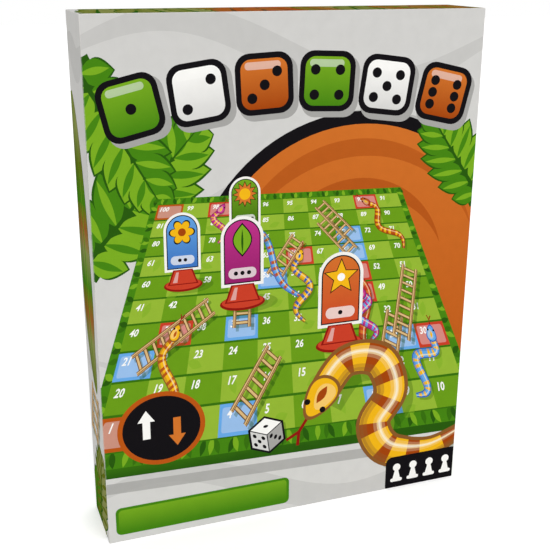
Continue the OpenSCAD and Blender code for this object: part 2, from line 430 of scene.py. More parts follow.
def drawBorder(sheet, place):
    # a band of small leaves round the cells
    wide, high, rim = board["width"], board["height"], board["border"]
    ink(sheet, rectangle(0, 0, wide, high), "leaf", place)
    sides = [(46, (0, 0), (wide, 0), 90), (46, (0, high), (wide, high), -90),
             (30, (0, 0), (0, high), 0), (30, (wide, 0), (wide, high), 180)]
    for count, start, end, lean in sides:
        for i in range(count):
            leaf = setAt(blade(rim * 1.25, board["borderLeaf"], 8), between(start, end, (i + 0.5) / count),
                         lean + 30 * math.sin(2.4 * i))
            ink(sheet, leaf, ("leafDark", "leafLight", "rowLine")[i % 3], place)
    ink(sheet, rectangle(rim, rim, wide - rim, high - rim), "rowLine", place)


def drawCell(sheet, number, special, place):
    # the first cell, the last and those where a snake or ladder starts have a pale panel, and others leaves
    a, b = cellCentre(number)
    halfW, halfH = board["cellW"] / 2, board["cellH"] / 2 - board["cellGap"]
    tone = special.get(number, "cellLight" if number % 2 else "cellDark")
    ink(sheet, rectangle(a - halfW, b - halfH, a + halfW, b + halfH), tone, place)
    if number in special:
        ink(sheet, setAt(roundedBox(halfW * 1.7, halfH * 1.55, 2, 3), (a, b)), flat("white", 0.22), place)
        return
    lean = 20 + 47 * (number % 5)
    marks = [((1.5, 0.7), (-0.2, -0.6), lean, flat("leafLight", 0.45)),
             ((1.2, 0.5), (0.4, -0.1), lean + 95, flat("rowLine", 0.28))]
    for size, shift, turn, shade in marks[:number % 2] if place else marks:
        leaf = blade(halfH * size[0], halfH * size[1], 8)
        ink(sheet, setAt(leaf, (a + halfW * shift[0], b + halfH * shift[1]), turn), shade, place)


def drawBoard(sheet, place=None):
    # drawn whole, or plainer where it is only a picture of the board, set in place
    drawBorder(sheet, place)
    special = {n: "red" for n, *_ in board["snakes"]}
    special.update({n: "blue" for n, _ in board["ladders"]})
    special.update({1: "orange", 100: "orange"})
    for number in range(1, 101):
        drawCell(sheet, number, special, place)
    for number in range(1, 101):
        a, b = cellCentre(number)
        spot = (a - board["cellW"] * 0.24, b + board["cellH"] * 0.16)
        if not place:
            printNumber(sheet, number, (spot[0] + 0.5, spot[1] - 0.5), board["numberH"], "leafDark")
        printNumber(sheet, number, spot, board["numberH"], "white", place)
    for foot, head in board["ladders"]:
        drawLadder(sheet, cellCentre(foot), cellCentre(head), board["ladderW"], place)
    for i, (head, tail, *colours) in enumerate(board["snakes"]):
        waves, swing = 1.5 if i % 2 else 1, 9 if i % 3 else -10
        path = wavyPath(cellCentre(head), cellCentre(tail), waves, swing, 34 if place else 56)
        drawSnake(sheet, path, board["snakeW"], colours, place)


# The four pawn figures: a plain symbol each, whose last outline is in the core's ink
sixths = [math.tau * i / 6 for i in range(6)]
symbols = {
    "star": [star(5, 9.5, 0.45), ellipse(2.2, points=20)],
    "flower": [
        *[setAt(ellipse(3.3, 2.6, 28), (5 * math.cos(t), 5 * math.sin(t)), math.degrees(t)) for t in sixths],
        ellipse(2.8, points=20),
    ],
    "leaf": [setAt(blade(18, 10.5, 16), (0, -9), 90), setAt(blade(15, 1.3), (0, -8.5), 90)],
    "sun": [star(12, 9.5, 0.62), ellipse(4.6)],
}
pawnLooks = [
    {"symbol": "star", "field": ("red", "orangeLight"), "mark": "yellow", "core": "white", "dots": 1},
    {"symbol": "flower", "field": ("blueDeep", "blue"), "mark": "yellow", "core": "orangeDeep", "dots": 2},
    {"symbol": "leaf", "field": ("pinkDeep", "pink"), "mark": "leafLight", "core": "leafDark", "dots": 3},
    {"symbol": "sun", "field": ("leafDark", "leafLight"), "mark": "orangeLight", "core": "yellow", "dots": 4},
]
# A pawn's card and the heights of its stand, in millimetres; markRim: the scale of a mark's black edge
pawn = {
    "cardW": 26, "cardH": 42, "tabW": 15, "jawH": 9, "footT": 2.4,
    "rim": 1.8, "line": 0.7, "panel": (17, 6.4, 3), "panelUp": 8, "dotR": 1.3, "dotGap": 4, "markRim": 1.13,
}


def cardOutline(inset=0.0):
    # an arch standing on the origin
    half = pawn["cardW"] / 2 - inset
    arch = ellipse(half, half, 28, 0, 180)
    middle = pawn["cardH"] - pawn["cardW"] / 2
    return [(-half, inset), (half, inset)] + [(a, middle + b) for a, b in arch]


def drawCard(sheet, look, base, place=None):
    field = ramp(*look["field"], (base[0], base[1] - 6), (base[0], base[1] + pawn["cardH"] + 4), place)
    for inset, shade in ((0, "paper"), (pawn["rim"], "black"), (pawn["rim"] + pawn["line"], field)):
        ink(sheet, setAt(cardOutline(inset), base), shade, place)
    panelB = base[1] + pawn["panelUp"]
    ink(sheet, setAt(roundedBox(*pawn["panel"]), (base[0], panelB)), flat("white", 0.6), place)
    for i in range(look["dots"]):
        spot = (base[0] + pawn["dotGap"] * (i - (look["dots"] - 1) / 2), panelB)
        ink(sheet, setAt(ellipse(pawn["dotR"], points=16), spot), "black", place)
    middle = (base[0], base[1] + pawn["cardH"] - pawn["cardW"] / 2 - 1)
    *marks, core = symbols[look["symbol"]]
    for tone, scale in (("black", pawn["markRim"]), (look["mark"], 1)):
        for mark in marks:
            ink(sheet, setAt(mark, middle, 0, scale), tone, place)
    ink(sheet, setAt(core, middle), look["core"], place)


# A drawn pawn's shadow and stand, in the card's own millimetres, lowest ink first
pawnShadow = [(setAt(ellipse(*radii), (5, -1)), flat("leafDark", 0.35)) for radii in ((17, 5.5), (11, 3.4))]
pawnFoot = [
    (ellipse(14, 4.8, 28), "redDeep"),
    (setAt(ellipse(12.8, 3.9, 28), (0, 0.7)), "red"),
    ([(-11, 0.5), (11, 0.5), (7, 11.5), (-7, 11.5)], "redDeep"),
    ([(-9.6, 1.2), (9.6, 1.2), (6, 10.8), (-6, 10.8)], "red"),
    ([(-7.5, 2.2), (-4.2, 2.2), (-3, 9.8), (-4.8, 9.8)], flat("white", 0.35)),
]


def drawPawn(sheet, foot, scale, look):
    # a standing pawn seen from the front, its stand's foot on that point
    place = placer(foot, 0, scale)
    for outline, shade in pawnShadow:
        ink(sheet, outline, shade, place)
    drawCard(sheet, look, (0, pawn["footT"] + pawn["jawH"] - 1), place)
    for outline, shade in pawnFoot:
        ink(sheet, outline, shade, place)


pipPlaces = {
    1: [(0, 0)],
    2: [(-1, -1), (1, 1)],
    3: [(-1, -1), (0, 0), (1, 1)],
    4: [(-1, -1), (-1, 1), (1, -1), (1, 1)],
    5: [(-1, -1), (-1, 1), (0, 0), (1, -1), (1, 1)],
    6: [(-1, -1), (-1, 0), (-1, 1), (1, -1), (1, 0), (1, 1)],
}


def drawBlock(sheet, centre, size, turn, number, tones):
    # a die face with a heavy black outline and a grey shadow
    place = placer(centre, turn, size / 2)
    ink(sheet, setAt(roundedBox(2.5, 2.5, 0.62), (0.16, -0.2)), "groundDark", place)
    ink(sheet, roundedBox(2.42, 2.42, 0.6), "black", place)
    ink(sheet, roundedBox(1.96, 1.96, 0.42), ramp(*tones, (0, -1), (0, 1), place), place)
    ink(sheet, setAt(roundedBox(1.5, 0.3, 0.14), (-0.05, 0.72)), flat("white", 0.35), place)
    for a, b in pipPlaces[number]:
        ink(sheet, setAt(ellipse(0.21, points=18), (a * 0.54, b * 0.5 - 0.04)), "black", place)


# A cube seen from a corner: the ends of its three near edges, and the two edges, ink and number of each face
nearEdges = {"left": (-0.87, 0.5), "right": (0.87, 0.5), "down": (0, -1)}
cubeFaces = [
    ("left", "right", "white", 1),
    ("down", "left", "groundLight", 5),
    ("right", "down", "groundDark", 3),
]


def drawCubeDie(sheet, centre, size, turn=0):
    whole = [(0, 1), (-0.87, 0.5), (-0.87, -0.5), (0, -1), (0.87, -0.5), (0.87, 0.5)]
    shadow = (centre[0] + size * 0.12, centre[1] - size * 0.14)
    ink(sheet, setAt(whole, shadow, turn, size * 1.1), flat("leafDark", 0.4))
    ink(sheet, setAt(whole, centre, turn, size * 1.1), "black")
    for edgeA, edgeB, tone, number in cubeFaces:
        ends = list(zip(nearEdges[edgeA], nearEdges[edgeB]))

        def onFace(p, q, ends=ends):
            spot = [(1 + p) / 2 * along + (1 + q) / 2 * aside for along, aside in ends]
            return setAt([spot], centre, turn, size)[0]

        ink(sheet, rectangle(-0.94, -0.94, 0.94, 0.94), tone, onFace)
        for a, b in pipPlaces[number]:
            ink(sheet, setAt(ellipse(0.22, points=16), (a / 2, b / 2)), "black", onFace)


def drawArrow(sheet, centre, length, width, turn, tone):
    neck, shaft = length * 0.1, width * 0.22
    lower = [(-length / 2, -shaft), (neck, -shaft), (neck, -width / 2)]
    outline = lower + [(length / 2, 0)] + [(a, -b) for a, b in reversed(lower)]
    ink(sheet, setAt(outline, centre, turn), tone)


ground = {"waves": 7, "cover": 0.275, "step": 6}  # step: mm between the points of a wave


def drawGround(sheet, seed):
    # pale paper tone with broad soft waves across it
    width, height = sheet["size"]
    ink(sheet, rectangle(0, 0, width, height), ramp("ground", "groundLight", (0, height), (width * 0.3, 0)))
    pieces = max(14, round(width / ground["step"]))
    shares = [j / pieces for j in range(pieces + 1)]
    swing = min(height / 16, width / 9)
    for i in range(ground["waves"]):
        middle = height * (i + 0.5) / ground["waves"]
        reach = height / 30 * (1 + 0.5 * math.sin(seed + 2.1 * i))
        path = [(width * (1.1 * s - 0.05), middle + swing * math.sin(seed + i + 6.6 * s)) for s in shares]
        shade = flat("groundLight" if i % 2 else "groundDark", ground["cover"])
        inkRibbon(sheet, path, lambda share: reach * (0.4 + math.sin(math.pi * share)), shade)


lidW, lidH, lidD = [(lidHigh - lidLow)[i] / mm for i in (0, 2, 1)]
baseW, baseH, baseD = [(baseHigh - baseLow)[i] / mm for i in (0, 2, 1)]

# The lid's front, in millimetres from its lower left corner
lidArt = {
    "disc": {
        "centre": (136, 128), "radius": 84, "ring": 6.5, "glow": ((136, 60), (170, 240)),
        "shadow": (2.5, 2), "strokes": [(0.86, 0.5), (0.62, 0.6)], "strokeW": 9,
    },
    "fronds": [((-6, 150), (52, 214), 30, 8), ((-4, 246), (34, 178), 24, 8), ((208, 168), (176, 214), 22, 7)],
    "boardNear": [(-14, 44), (222, 36)],
    "boardFar": [(160, 178), (30, 182)],
    "boardThick": 5.5,
    "boardShadow": [(-26, 36), (228, 26), (228, 20), (-26, 30)],
    "pawns": [(77, 0.62, 3), (59, 0.7, 1), (27, 0.98, 0), (44, 0.86, 2)],  # cell, scale, look
    "die": ((87, 48), 10.5, 8),
    "snakeKnots": [(118, 66), (132, 84), (152, 82), (160, 62), (150, 44), (160, 26), (186, 22), (214, 34)],
    "snakeW": 17,
    "badge": {"centre": (30, 62), "radii": (23, 20.5), "line": (2.6, 2.5)},
    "arrows": [((22, 65), 90, "white"), ((38, 59), -90, "orangeLight")],
    "arrow": (16, 9),
    "blocks": {"size": 24, "first": 21, "pitch": 32.2, "up": 222, "rise": 12, "lean": 13, "leanStep": -5.2},
    "blockTones": [("leaf", "leafLight"), ("groundLight", "white"), ("orangeDeep", "orangeLight")],
    "band": {"centre": (52, 12), "size": (96, 16), "line": 3},
    "tab": {"centre": (lidW - 21, 9), "size": (46, 22, 4), "first": lidW - 37, "pitch": 10.5, "up": 5},
}
bigSnake = ("yellow", "tanDark", "orangeDeep")


def drawDisc(sheet, centre, radius, ring, glow, shadow, strokes, strokeW):
    # an orange disc with a heavy ring and two darker strokes, behind the board
    wider, drop = shadow
    for reach, shift, shade in (
        (radius + ring + wider, drop, flat("groundDark", 0.7)),
        (radius + ring, 0, "black"),
        (radius, 0, ramp("orange", "orangeLight", *glow)),
    ):
        ink(sheet, setAt(ellipse(reach, points=90), (centre[0] + shift, centre[1] - shift)), shade)
    for far, cover in strokes:
        arc = setAt(ellipse(radius * far, points=40, start=20, sweep=150), centre)
        inkRibbon(sheet, arc, lambda share: strokeW * math.sin(math.pi * share), flat("orangeDeep", cover))


def drawGame(sheet):
    # the board in perspective, the pieces standing on it and one large banded snake in front
    near, thick = lidArt["boardNear"], lidArt["boardThick"]
    place = onQuad([*near, *lidArt["boardFar"]], board["width"], board["height"])
    ink(sheet, lidArt["boardShadow"], flat("groundDark", 0.8))
    side = [(a, b - thick) for a, b in near] + near[::-1]
    ink(sheet, side, ramp("leafDark", "rowLine", (0, near[0][1] - thick - 0.5), (0, near[0][1])))
    drawBoard(sheet, place)
    for number, scale, look in lidArt["pawns"]:
        drawPawn(sheet, place(*cellCentre(number)), scale, pawnLooks[look])
    drawCubeDie(sheet, *lidArt["die"])
    path = smoothPath(lidArt["snakeKnots"], 10)
    drawSnake(sheet, path, lidArt["snakeW"], bigSnake, bands=9, head=1.05, rounded=True)


def drawBadge(sheet, centre, radii, line):
    # the two rules of the game: up a ladder, down a snake
    ink(sheet, setAt(ellipse(*radii, 48), centre), "orange")
    ink(sheet, setAt(ellipse(radii[0] - line[0], radii[1] - line[1], 48), centre), "black")
    for spot, turn, tone in lidArt["arrows"]:
        drawArrow(sheet, spot, *lidArt["arrow"], turn, tone)


def drawBlocks(sheet, size, first, pitch, up, rise, lean, leanStep):
    # numbered blocks in an arch across the top
    for i in range(6):
        spot = (first + pitch * i, up + rise * math.sin(math.pi * (i + 0.5) / 6))
        drawBlock(sheet, spot, size, lean + leanStep * i, i + 1, lidArt["blockTones"][i % 3])


def drawBand(sheet, centre, size, line):
    ink(sheet, setAt(roundedBox(*size, 3), centre), "leaf")
    inner = roundedBox(size[0] - line, size[1] - line, 2)
    ink(sheet, setAt(inner, centre), ramp("leaf", "leafLight", (0, centre[1] - 6), (0, centre[1] + 8)))


def drawTab(sheet, centre, size, first, pitch, up):
    # four white pawns on black
    ink(sheet, setAt(roundedBox(*size), centre), "black")
    for i in range(4):
        spot = (first + pitch * i, up)
        ink(sheet, setAt(roundedBox(7.5, 2.2, 1, 3), spot), "white")
        ink(sheet, setAt([(-2.6, 0), (2.6, 0), (1, 6.5), (-1, 6.5)], spot), "white")
        ink(sheet, setAt(ellipse(2.4, points=16), (spot[0], spot[1] + 8)), "white")


def lidFront():
    sheet = newSheet(lidW, lidH)
    drawGround(sheet, 0.4)
    drawDisc(sheet, **lidArt["disc"])
    for root, tip, width, leaflets in lidArt["fronds"]:
        drawFrond(sheet, root, tip, width, leaflets)
    drawGame(sheet)
    drawBadge(sheet, **lidArt["badge"])
    drawBlocks(sheet, **lidArt["blocks"])
    drawBand(sheet, **lidArt["band"])
    drawTab(sheet, **lidArt["tab"])
    return sheet


# The lid's sides, in shares of their depth and height; widths and a frond's root height are millimetres
sideArt = {
    "leafKnots": [(0.06, 0.86), (0.3, 0.72), (0.42, 0.52), (0.48, 0.4), (0.68, 0.3)],
    "leafW": 27,
    "bands": [(0.9, "moss"), (0.8, "olive"), (0.73, "moss"), (0.67, "leaf"), (0.62, "rust"), (0.57, "olive"),
              (0.51, "leaf"), (0.45, "rust"), (0.4, "olive"), (0.28, "moss")],
    "ribs": [(flat("leafDark", 0.35), 6, -1.4), (flat("leafLight", 0.8), 2, 0.4), ("leafDark", 1, 0)],
    "ladder": ((0.3, 0.185), (0.55, 0.3), 15),
    "fronds": [
        ((0.4, -6), (0.75, 0.17), 24, 7, ("leafDark", "moss", "olive")),
        ((0.05, -8), (0.3, 0.1), 16, 6, ("leafDark", "leaf", "moss")),
    ],
}


def lidSide(seed):
    # depth runs along a, height along b: one long leaf from the rim side down to the front edge, turning from
    # green to rust and back, with a pale rib
    sheet = newSheet(lidD, lidH)
    drawGround(sheet, seed)
    path = smoothPath([(lidD * a, lidH * b) for a, b in sideArt["leafKnots"]], 10)

    def breadth(wide):
        return lambda share: wide * math.sin(math.pi * min(1, 0.02 + 0.98 * share)) ** 0.7

    inkRibbon(sheet, path, breadth(sideArt["leafW"] + 2), "leafDark")
    for quad in ribbon(path, breadth(sideArt["leafW"])):
        middle = sum(p[1] for p in quad) / 4 / lidH
        above = [band for band in sideArt["bands"] if band[0] >= middle][-1]
        below = [band for band in sideArt["bands"] if band[0] < middle][0]
        ink(sheet, quad, ramp(above[1], below[1], (0, lidH * above[0]), (0, lidH * below[0])))
    for shade, wide, shift in sideArt["ribs"]:
        inkRibbon(sheet, path, breadth(wide), shade, shift=shift)
    foot, head, width = sideArt["ladder"]
    drawLadder(sheet, (lidD * foot[0], lidH * foot[1]), (lidD * head[0], lidH * head[1]), width)
    for root, tip, width, leaflets, tones in sideArt["fronds"]:
        drawFrond(sheet, (lidD * root[0], root[1]), (lidD * tip[0], lidH * tip[1]), width, leaflets, tones)
    return sheet


# The lid's ends: a strip that turns from green to rust and back, under a row of small fronds
endArt = {
    "stops": [(5, "moss"), (0.2 * lidW, "moss"), (0.45 * lidW, "rust"), (0.72 * lidW, "olive"),
              (lidW - 1, "rust")],
    "fronds": [
        *[("leafDark", "moss", "olive")] * 4,
        *[("brown", "rust", "orangeDeep")] * 3,
        ("brown", "moss", "rust"),
        *[("leafDark", "moss", "olive")] * 2,
        *[("brown", "rust", "moss")] * 3,
    ],
    "first": 8,
    "pitch": 15.5,
    "frondW": 13,
}


def lidEnd(seed):
    # width runs along a, depth along b
    sheet = newSheet(lidW, lidD)
    drawGround(sheet, seed)
    for (start, low), (end, high) in zip(endArt["stops"], endArt["stops"][1:]):
        ink(sheet, rectangle(start, 0, end, lidD), ramp(low, high, (start, 0), (end, 0)))
    for i, tones in enumerate(endArt["fronds"]):
        root, lean = endArt["first"] + endArt["pitch"] * i, 8 * math.sin(seed + 1.7 * i)
        drawFrond(sheet, (root, -4), (root + 4 + lean, lidD * 0.95), endArt["frondW"], 5, tones)
    return sheet


def drawFigure(sheet, kind, centre, figure, look=None):
    # a small picture of one of the game's pieces; figure gives its size, and its places from the centre
    at = placer(centre)
    if kind == "die":
        drawCubeDie(sheet, centre, figure)
    elif kind == "ladder":
        foot, head, width = figure
        drawLadder(sheet, at(*foot), at(*head), width)
    elif kind == "snake":
        head, tail, waves, swing, width, colours = figure
        drawSnake(sheet, wavyPath(at(*head), at(*tail), waves, swing), width, colours)
    else:
        foot, scale = figure
        drawPawn(sheet, at(*foot), scale, look)


# The back of the box: a picture of the board, three plain signs and a bare band. A sign has its tone, its
# place across, its figure and its arrow's turn
baseArt = {
    "picture": {"centre": (baseW / 2, baseH * 0.68), "width": 176, "line": 3},
    "signs": [("orange", 0.19, "die", None), ("leafLight", 0.5, "ladder", 90), ("blue", 0.81, "snake", -90)],
    "figures": {
        "die": 17,
        "ladder": ((-10, -20), (4, 20), 13),
        "snake": ((-4, 17), (-10, -19), 1, 7, 6, bigSnake),
    },
    "signUp": 0.27,
    "signW": 54,
    "signLine": 1.75,
    "arrow": (26, 11),
    "arrowAside": 15,
    "band": (baseW - 16, 13, 3),
    "bandUp": 12,
}


def basePanel():
    sheet = newSheet(baseW, baseH)
    drawGround(sheet, 1.7)
    picture = baseArt["picture"]
    scale = picture["width"] / board["width"]
    high = board["height"] * scale
    corner = (picture["centre"][0] - picture["width"] / 2, picture["centre"][1] - high / 2)
    frameSize = (picture["width"] + 2 * picture["line"], high + 2 * picture["line"])
    ink(sheet, setAt(roundedBox(*frameSize, 3), picture["centre"]), "black")
    drawBoard(sheet, placer(corner, 0, scale))
    for tone, across, kind, turn in baseArt["signs"]:
        a, b = baseW * across, baseH * baseArt["signUp"]
        wide = baseArt["signW"] - 2 * baseArt["signLine"]
        ink(sheet, setAt(roundedBox(baseArt["signW"], baseArt["signW"], 6), (a, b)), "black")
        ink(sheet, setAt(roundedBox(wide, wide, 5), (a, b)), tone)
        drawFigure(sheet, kind, (a, b), baseArt["figures"][kind])
        if turn:
            drawArrow(sheet, (a + baseArt["arrowAside"], b), *baseArt["arrow"], turn, "white")
    ink(sheet, setAt(roundedBox(*baseArt["band"]), (baseW / 2, baseArt["bandUp"])), "leaf")
    return sheet


def baseWall(width, height):
    sheet = newSheet(width, height)
    ink(sheet, rectangle(0, 0, width, height), "leaf")
    return sheet


print("printing sheets ready")


# Meshes. A sheet is cut along every inked outline, and each cut piece takes the ink that ends up on top
def cutSheet(sheet, clip):
    outlines = [clip] + [outline for outline, _ in sheet["layers"]]
    corners, faces = [], []
    for outline in outlines:
        faces.append(list(range(len(corners), len(corners) + len(outline))))
        corners += [Vector(p) for p in outline]
    points, _, cells, _, _, owners = delaunay_2d_cdt(corners, [], faces, 1, cutting["snap"])
    reach = [[(min(side), max(side)) for side in zip(*outline)] for outline in outlines]

    def lies(cell, owner):
        # a sliver that the cutting folds shut would otherwise ink the whole sheet
        total = points[cell[0]] + points[cell[1]] + points[cell[2]]
        return all(3 * low - cutting["spill"] < at < 3 * high + cutting["spill"]
                   for at, (low, high) in zip(total, reach[owner]))

    inside = [(cell, own) for cell, own in zip(cells, owners) if 0 in own]
    return points, [(cell, tuple(o for o in own if lies(cell, o))) for cell, own in inside]


def visibleStack(sheet, owners):
    # the inks that show at a place: the topmost full one and all that lies over it
    stack = []
    for owner in sorted(owners, reverse=True)[:-1]:
        stack.insert(0, sheet["layers"][owner - 1][1])
        if stack[0]["full"]:
            break
    return stack


paperInk = (*toLinear(inks["paper"]), 1.0)


def stackInk(stack, a, b):
    rgb = paperInk[:3]
    for shade in stack:
        *over, cover = shade["at"](a, b) if "at" in shade else shade["rgba"]
        rgb = over if cover >= 1 else [p + (q - p) * cover for p, q in zip(rgb, over)]
    return (*rgb, 1.0)


def newPrint():
    bm = bmesh.new()
    bm.loops.layers.float_color.new("ink")
    bm.verts.layers.float.new("wearAndHighlight")
    return bm


def inkFace(bm, verts, colours, smooth=False):
    # a face with an ink for each corner; corners that meet are taken once
    pairs = {}
    for vert, colour in zip(verts, colours):
        pairs.setdefault(vert, colour)
    if len(pairs) < 3:
        return
    face = bm.faces.new(list(pairs))
    face.smooth = smooth
    layer = bm.loops.layers.float_color["ink"]
    for loop in face.loops:
        loop[layer] = pairs[loop.vert]


def printFace(bm, sheet, clip, lay):
    # lays a cut sheet on the model; returns its corners by their place on the sheet, and its inked cells
    points, cells = cutSheet(sheet, clip)
    made, printed, known = {}, [], {}
    for cell, owners in cells:
        for i in cell:
            if i not in made:
                made[i] = bm.verts.new(lay(*points[i]))
        if owners not in known:
            stack = visibleStack(sheet, owners)
            shaded = any("at" in shade for shade in stack)
            known[owners] = (stack, None if shaded else stackInk(stack, 0, 0))
        stack, even = known[owners]
        colours = [even or stackInk(stack, *points[i]) for i in cell]
        inkFace(bm, [made[i] for i in cell], colours)
        printed.append((cell, colours))
    return {i: (points[i].x, points[i].y, vert) for i, vert in made.items()}, printed


def onPlane(origin, right, up):
    return lambda a, b: origin + right * (a * mm) + up * (b * mm)


def printSheet(bm, sheet, clip, lay, layBack, printedBack=False, flatBack=False):
    # a whole sheet with its printed face, its cut edge and its back
    front, printed = printFace(bm, sheet, clip, lay)
    onward = {(i, j) for cell, _ in printed for i, j in zip(cell, cell[1:] + cell[:1])}
    rim = {i: j for cell, _ in printed for i, j in zip(cell, cell[1:] + cell[:1]) if (j, i) not in onward}
    back = {i: bm.verts.new(layBack(*front[i][:2])) for i in (rim if flatBack else front)}
    for i, j in rim.items():
        inkFace(bm, [front[j][2], front[i][2], back[i], back[j]], [paperInk] * 4)
    if flatBack:
        order = [next(iter(rim))]
        while rim[order[-1]] != order[0]:
            order.append(rim[order[-1]])
        printed = [(order, [paperInk] * len(order))]
    for cell, colours in printed:
        backColours = colours if printedBack else [paperInk] * len(cell)
        inkFace(bm, [back[i] for i in reversed(cell)], backColours[::-1])


def cutFolds(sheet, start, end, low, high, steps=8):
    # clear strips, which print nothing: they only cut the sheet where it has to bend
    for i in range(steps):
        first, last = [start + (end - start) * (i + k) / steps for k in (0, 1)]
        ink(sheet, rectangle(first, low, last, high), flat("paper", 0))


def border(corners, axis, value):
    # the corners on one straight side of a printed face, in order
    row = [c for c in corners.values() if abs(c[axis] - value) < cutting["onEdge"]]
    return [c[2] for c in sorted(row, key=lambda c: c[1 - axis])]


def segmentInk(bm, first, second):
    # the ink that the printed face beside this edge has at its two ends
    edge = next((e for e in first.link_edges if e.other_vert(first) is second), None)
    if edge is None or not edge.link_faces:
        return (paperInk, paperInk)
    layer = bm.loops.layers.float_color["ink"]
    loops = {loop.vert: tuple(loop[layer]) for loop in edge.link_faces[0].loops}
    return loops[first], loops[second]


def rub(bm, verts):
    # the print wears off here first, and the same pale mark is a painted highlight along the edge
    wornAndHighlit = bm.verts.layers.float["wearAndHighlight"]
    for vert in verts:
        vert[wornAndHighlit] = 1


# How the paper goes round a tray, in millimetres: its folds, the rim's soft edges, the tightest bend inside
paperTurn = {"radius": 0.42, "edge": 0.35, "least": 0.05, "steps": 3}
foldR = paperTurn["radius"] * mm


def bendStrip(bm, rowA, rowB, normalA, normalB):
    # joins two printed faces round a bend; returns its columns at both ends
    inkPairs = [segmentInk(bm, p, q) for p, q in zip(rowA, rowA[1:])]
    rows = [rowA]
    for step in range(1, paperTurn["steps"]):
        turn = math.pi / 2 * step / paperTurn["steps"]
        lift = normalA * (math.cos(turn) - 1) + normalB * math.sin(turn)
        rows.append([bm.verts.new(v.co + lift * foldR) for v in rowA])
        # the bend's inner rows: worn print that also paints a pale highlight along the fold
        rub(bm, rows[-1])
    for low, high in zip(rows, rows[1:]):
        for i, (near, far) in enumerate(inkPairs):
            inkFace(bm, [low[i], low[i + 1], high[i + 1], high[i]], [near, far, far, near], True)
    # the last row meets the other face's own corners, which lie elsewhere along the edge
    last = rows[-1]
    along = (rowA[-1].co - rowA[0].co).normalized()
    placeA, placeB = [[(v.co - rowA[0].co).dot(along) for v in row] for row in (last, rowB)]
    i = j = 0
    while i < len(last) - 1 or j < len(rowB) - 1:
        near, far = inkPairs[min(i, len(inkPairs) - 1)]
        if i < len(last) - 1 and (j == len(rowB) - 1 or placeA[i + 1] <= placeB[j + 1]):
            inkFace(bm, [last[i], last[i + 1], rowB[j]], [near, far, near], True)
            i += 1
        else:
            inkFace(bm, [last[i], rowB[j + 1], rowB[j]], [near] * 3, True)
            j += 1
    return [row[0] for row in rows] + [rowB[0]], [row[-1] for row in rows] + [rowB[-1]]


def wrapTray(low, high, facing, sheets):
    # the printed paper over a tray: panel, four walls, the rim and the turned-in inside
    bm = newPrint()
    size, r, edge = high - low, paperTurn["radius"], paperTurn["edge"]
    spans, depth = (size.x / mm, size.z / mm), size.y / mm
    inward, up = Vector((0, -facing, 0)), Vector((0, 0, 1))  # inward: from the panel towards the rim
    across = Vector((-facing, 0, 0))  # the panel's right as seen from outside
    corner = Vector((low.x, low.y, low.z) if facing < 0 else (high.x, high.y, low.z))
    # each wall's outward way, its sheet's origin, right and up, and the sheet's axis along the depth
    walls = {
        "right": (across, corner + across * size.x, inward, up, 0),
        "left": (-across, corner + inward * size.y, -inward, up, 0),
        "top": (up, corner + up * size.z, across, inward, 1),
        "bottom": (-up, corner + inward * size.y, across, -inward, 1),
    }
    panel, _ = printFace(bm, sheets["panel"], rectangle(r, r, spans[0] - r, spans[1] - r),
                         onPlane(corner, across, up))
    rows = {}
    for side, (_, origin, right, upward, axis) in walls.items():
        rimFar = side in ("right", "top")  # the rim is at the far end of these two sheets
        near, rim = (r, depth - edge) if rimFar else (depth - r, edge)
        long = spans[1 - axis] - r
        first, last = (min(near, rim), r), (max(near, rim), long)
        clip = rectangle(*first, *last) if axis == 0 else rectangle(*first[::-1], *last[::-1])
        made, _ = printFace(bm, sheets[side], clip, onPlane(origin, right, upward))
        rows[side] = {
            "panel": border(panel, axis, spans[axis] - r if rimFar else r),
            "near": border(made, axis, near),
            "rim": border(made, axis, rim),
            "ends": [border(made, 1 - axis, end)[::1 if rimFar else -1] for end in (r, long)],
        }
    bends = {side: bendStrip(bm, row["panel"], row["near"], -inward, walls[side][0])
             for side, row in rows.items()}
    joints = {}
    for sideA, sideB in (("left", "bottom"), ("left", "top"), ("right", "bottom"), ("right", "top")):
        endA, endB = int(sideB == "top"), int(sideA == "right")
        wayA, wayB = walls[sideA][0], walls[sideB][0]
        edgeA, edgeB = rows[sideA]["ends"][endA], rows[sideB]["ends"][endB]
        joint, joints[sideA, sideB] = bendStrip(bm, edgeA, edgeB, wayA, wayB)
        # the rounded corner where three bends meet
        columnA, columnB = bends[sideA][endA], bends[sideB][endB]
        loop = columnA + joint[1:] + columnB[-2:0:-1]
        outward = wayA + wayB - inward
        middle = bm.verts.new(columnA[0].co + inward * foldR + outward.normalized() * foldR)
        # the corner's middle: worn print and a painted highlight
        rub(bm, [middle])
        tone = tuple(columnA[0].link_loops[0][bm.loops.layers.float_color["ink"]])
        for p, q in zip(loop, loop[1:] + loop[:1]):
            inkFace(bm, [p, q, middle], [tone] * 3, True)
    around = []
    turns = (("bottom", "right", -1), ("right", "top", 1), ("top", "left", -1), ("left", "bottom", 1))
    for side, sideways, end in turns:
        row = rows[side]["rim"]
        joint = joints[(sideways, side) if end < 0 else (side, sideways)]
        around += (row if side in ("bottom", "right") else row[::-1]) + joint[1:-1][::end]
    turnIn(bm, around, (low + high) / 2, size, corner.y, inward.y)
    return bm


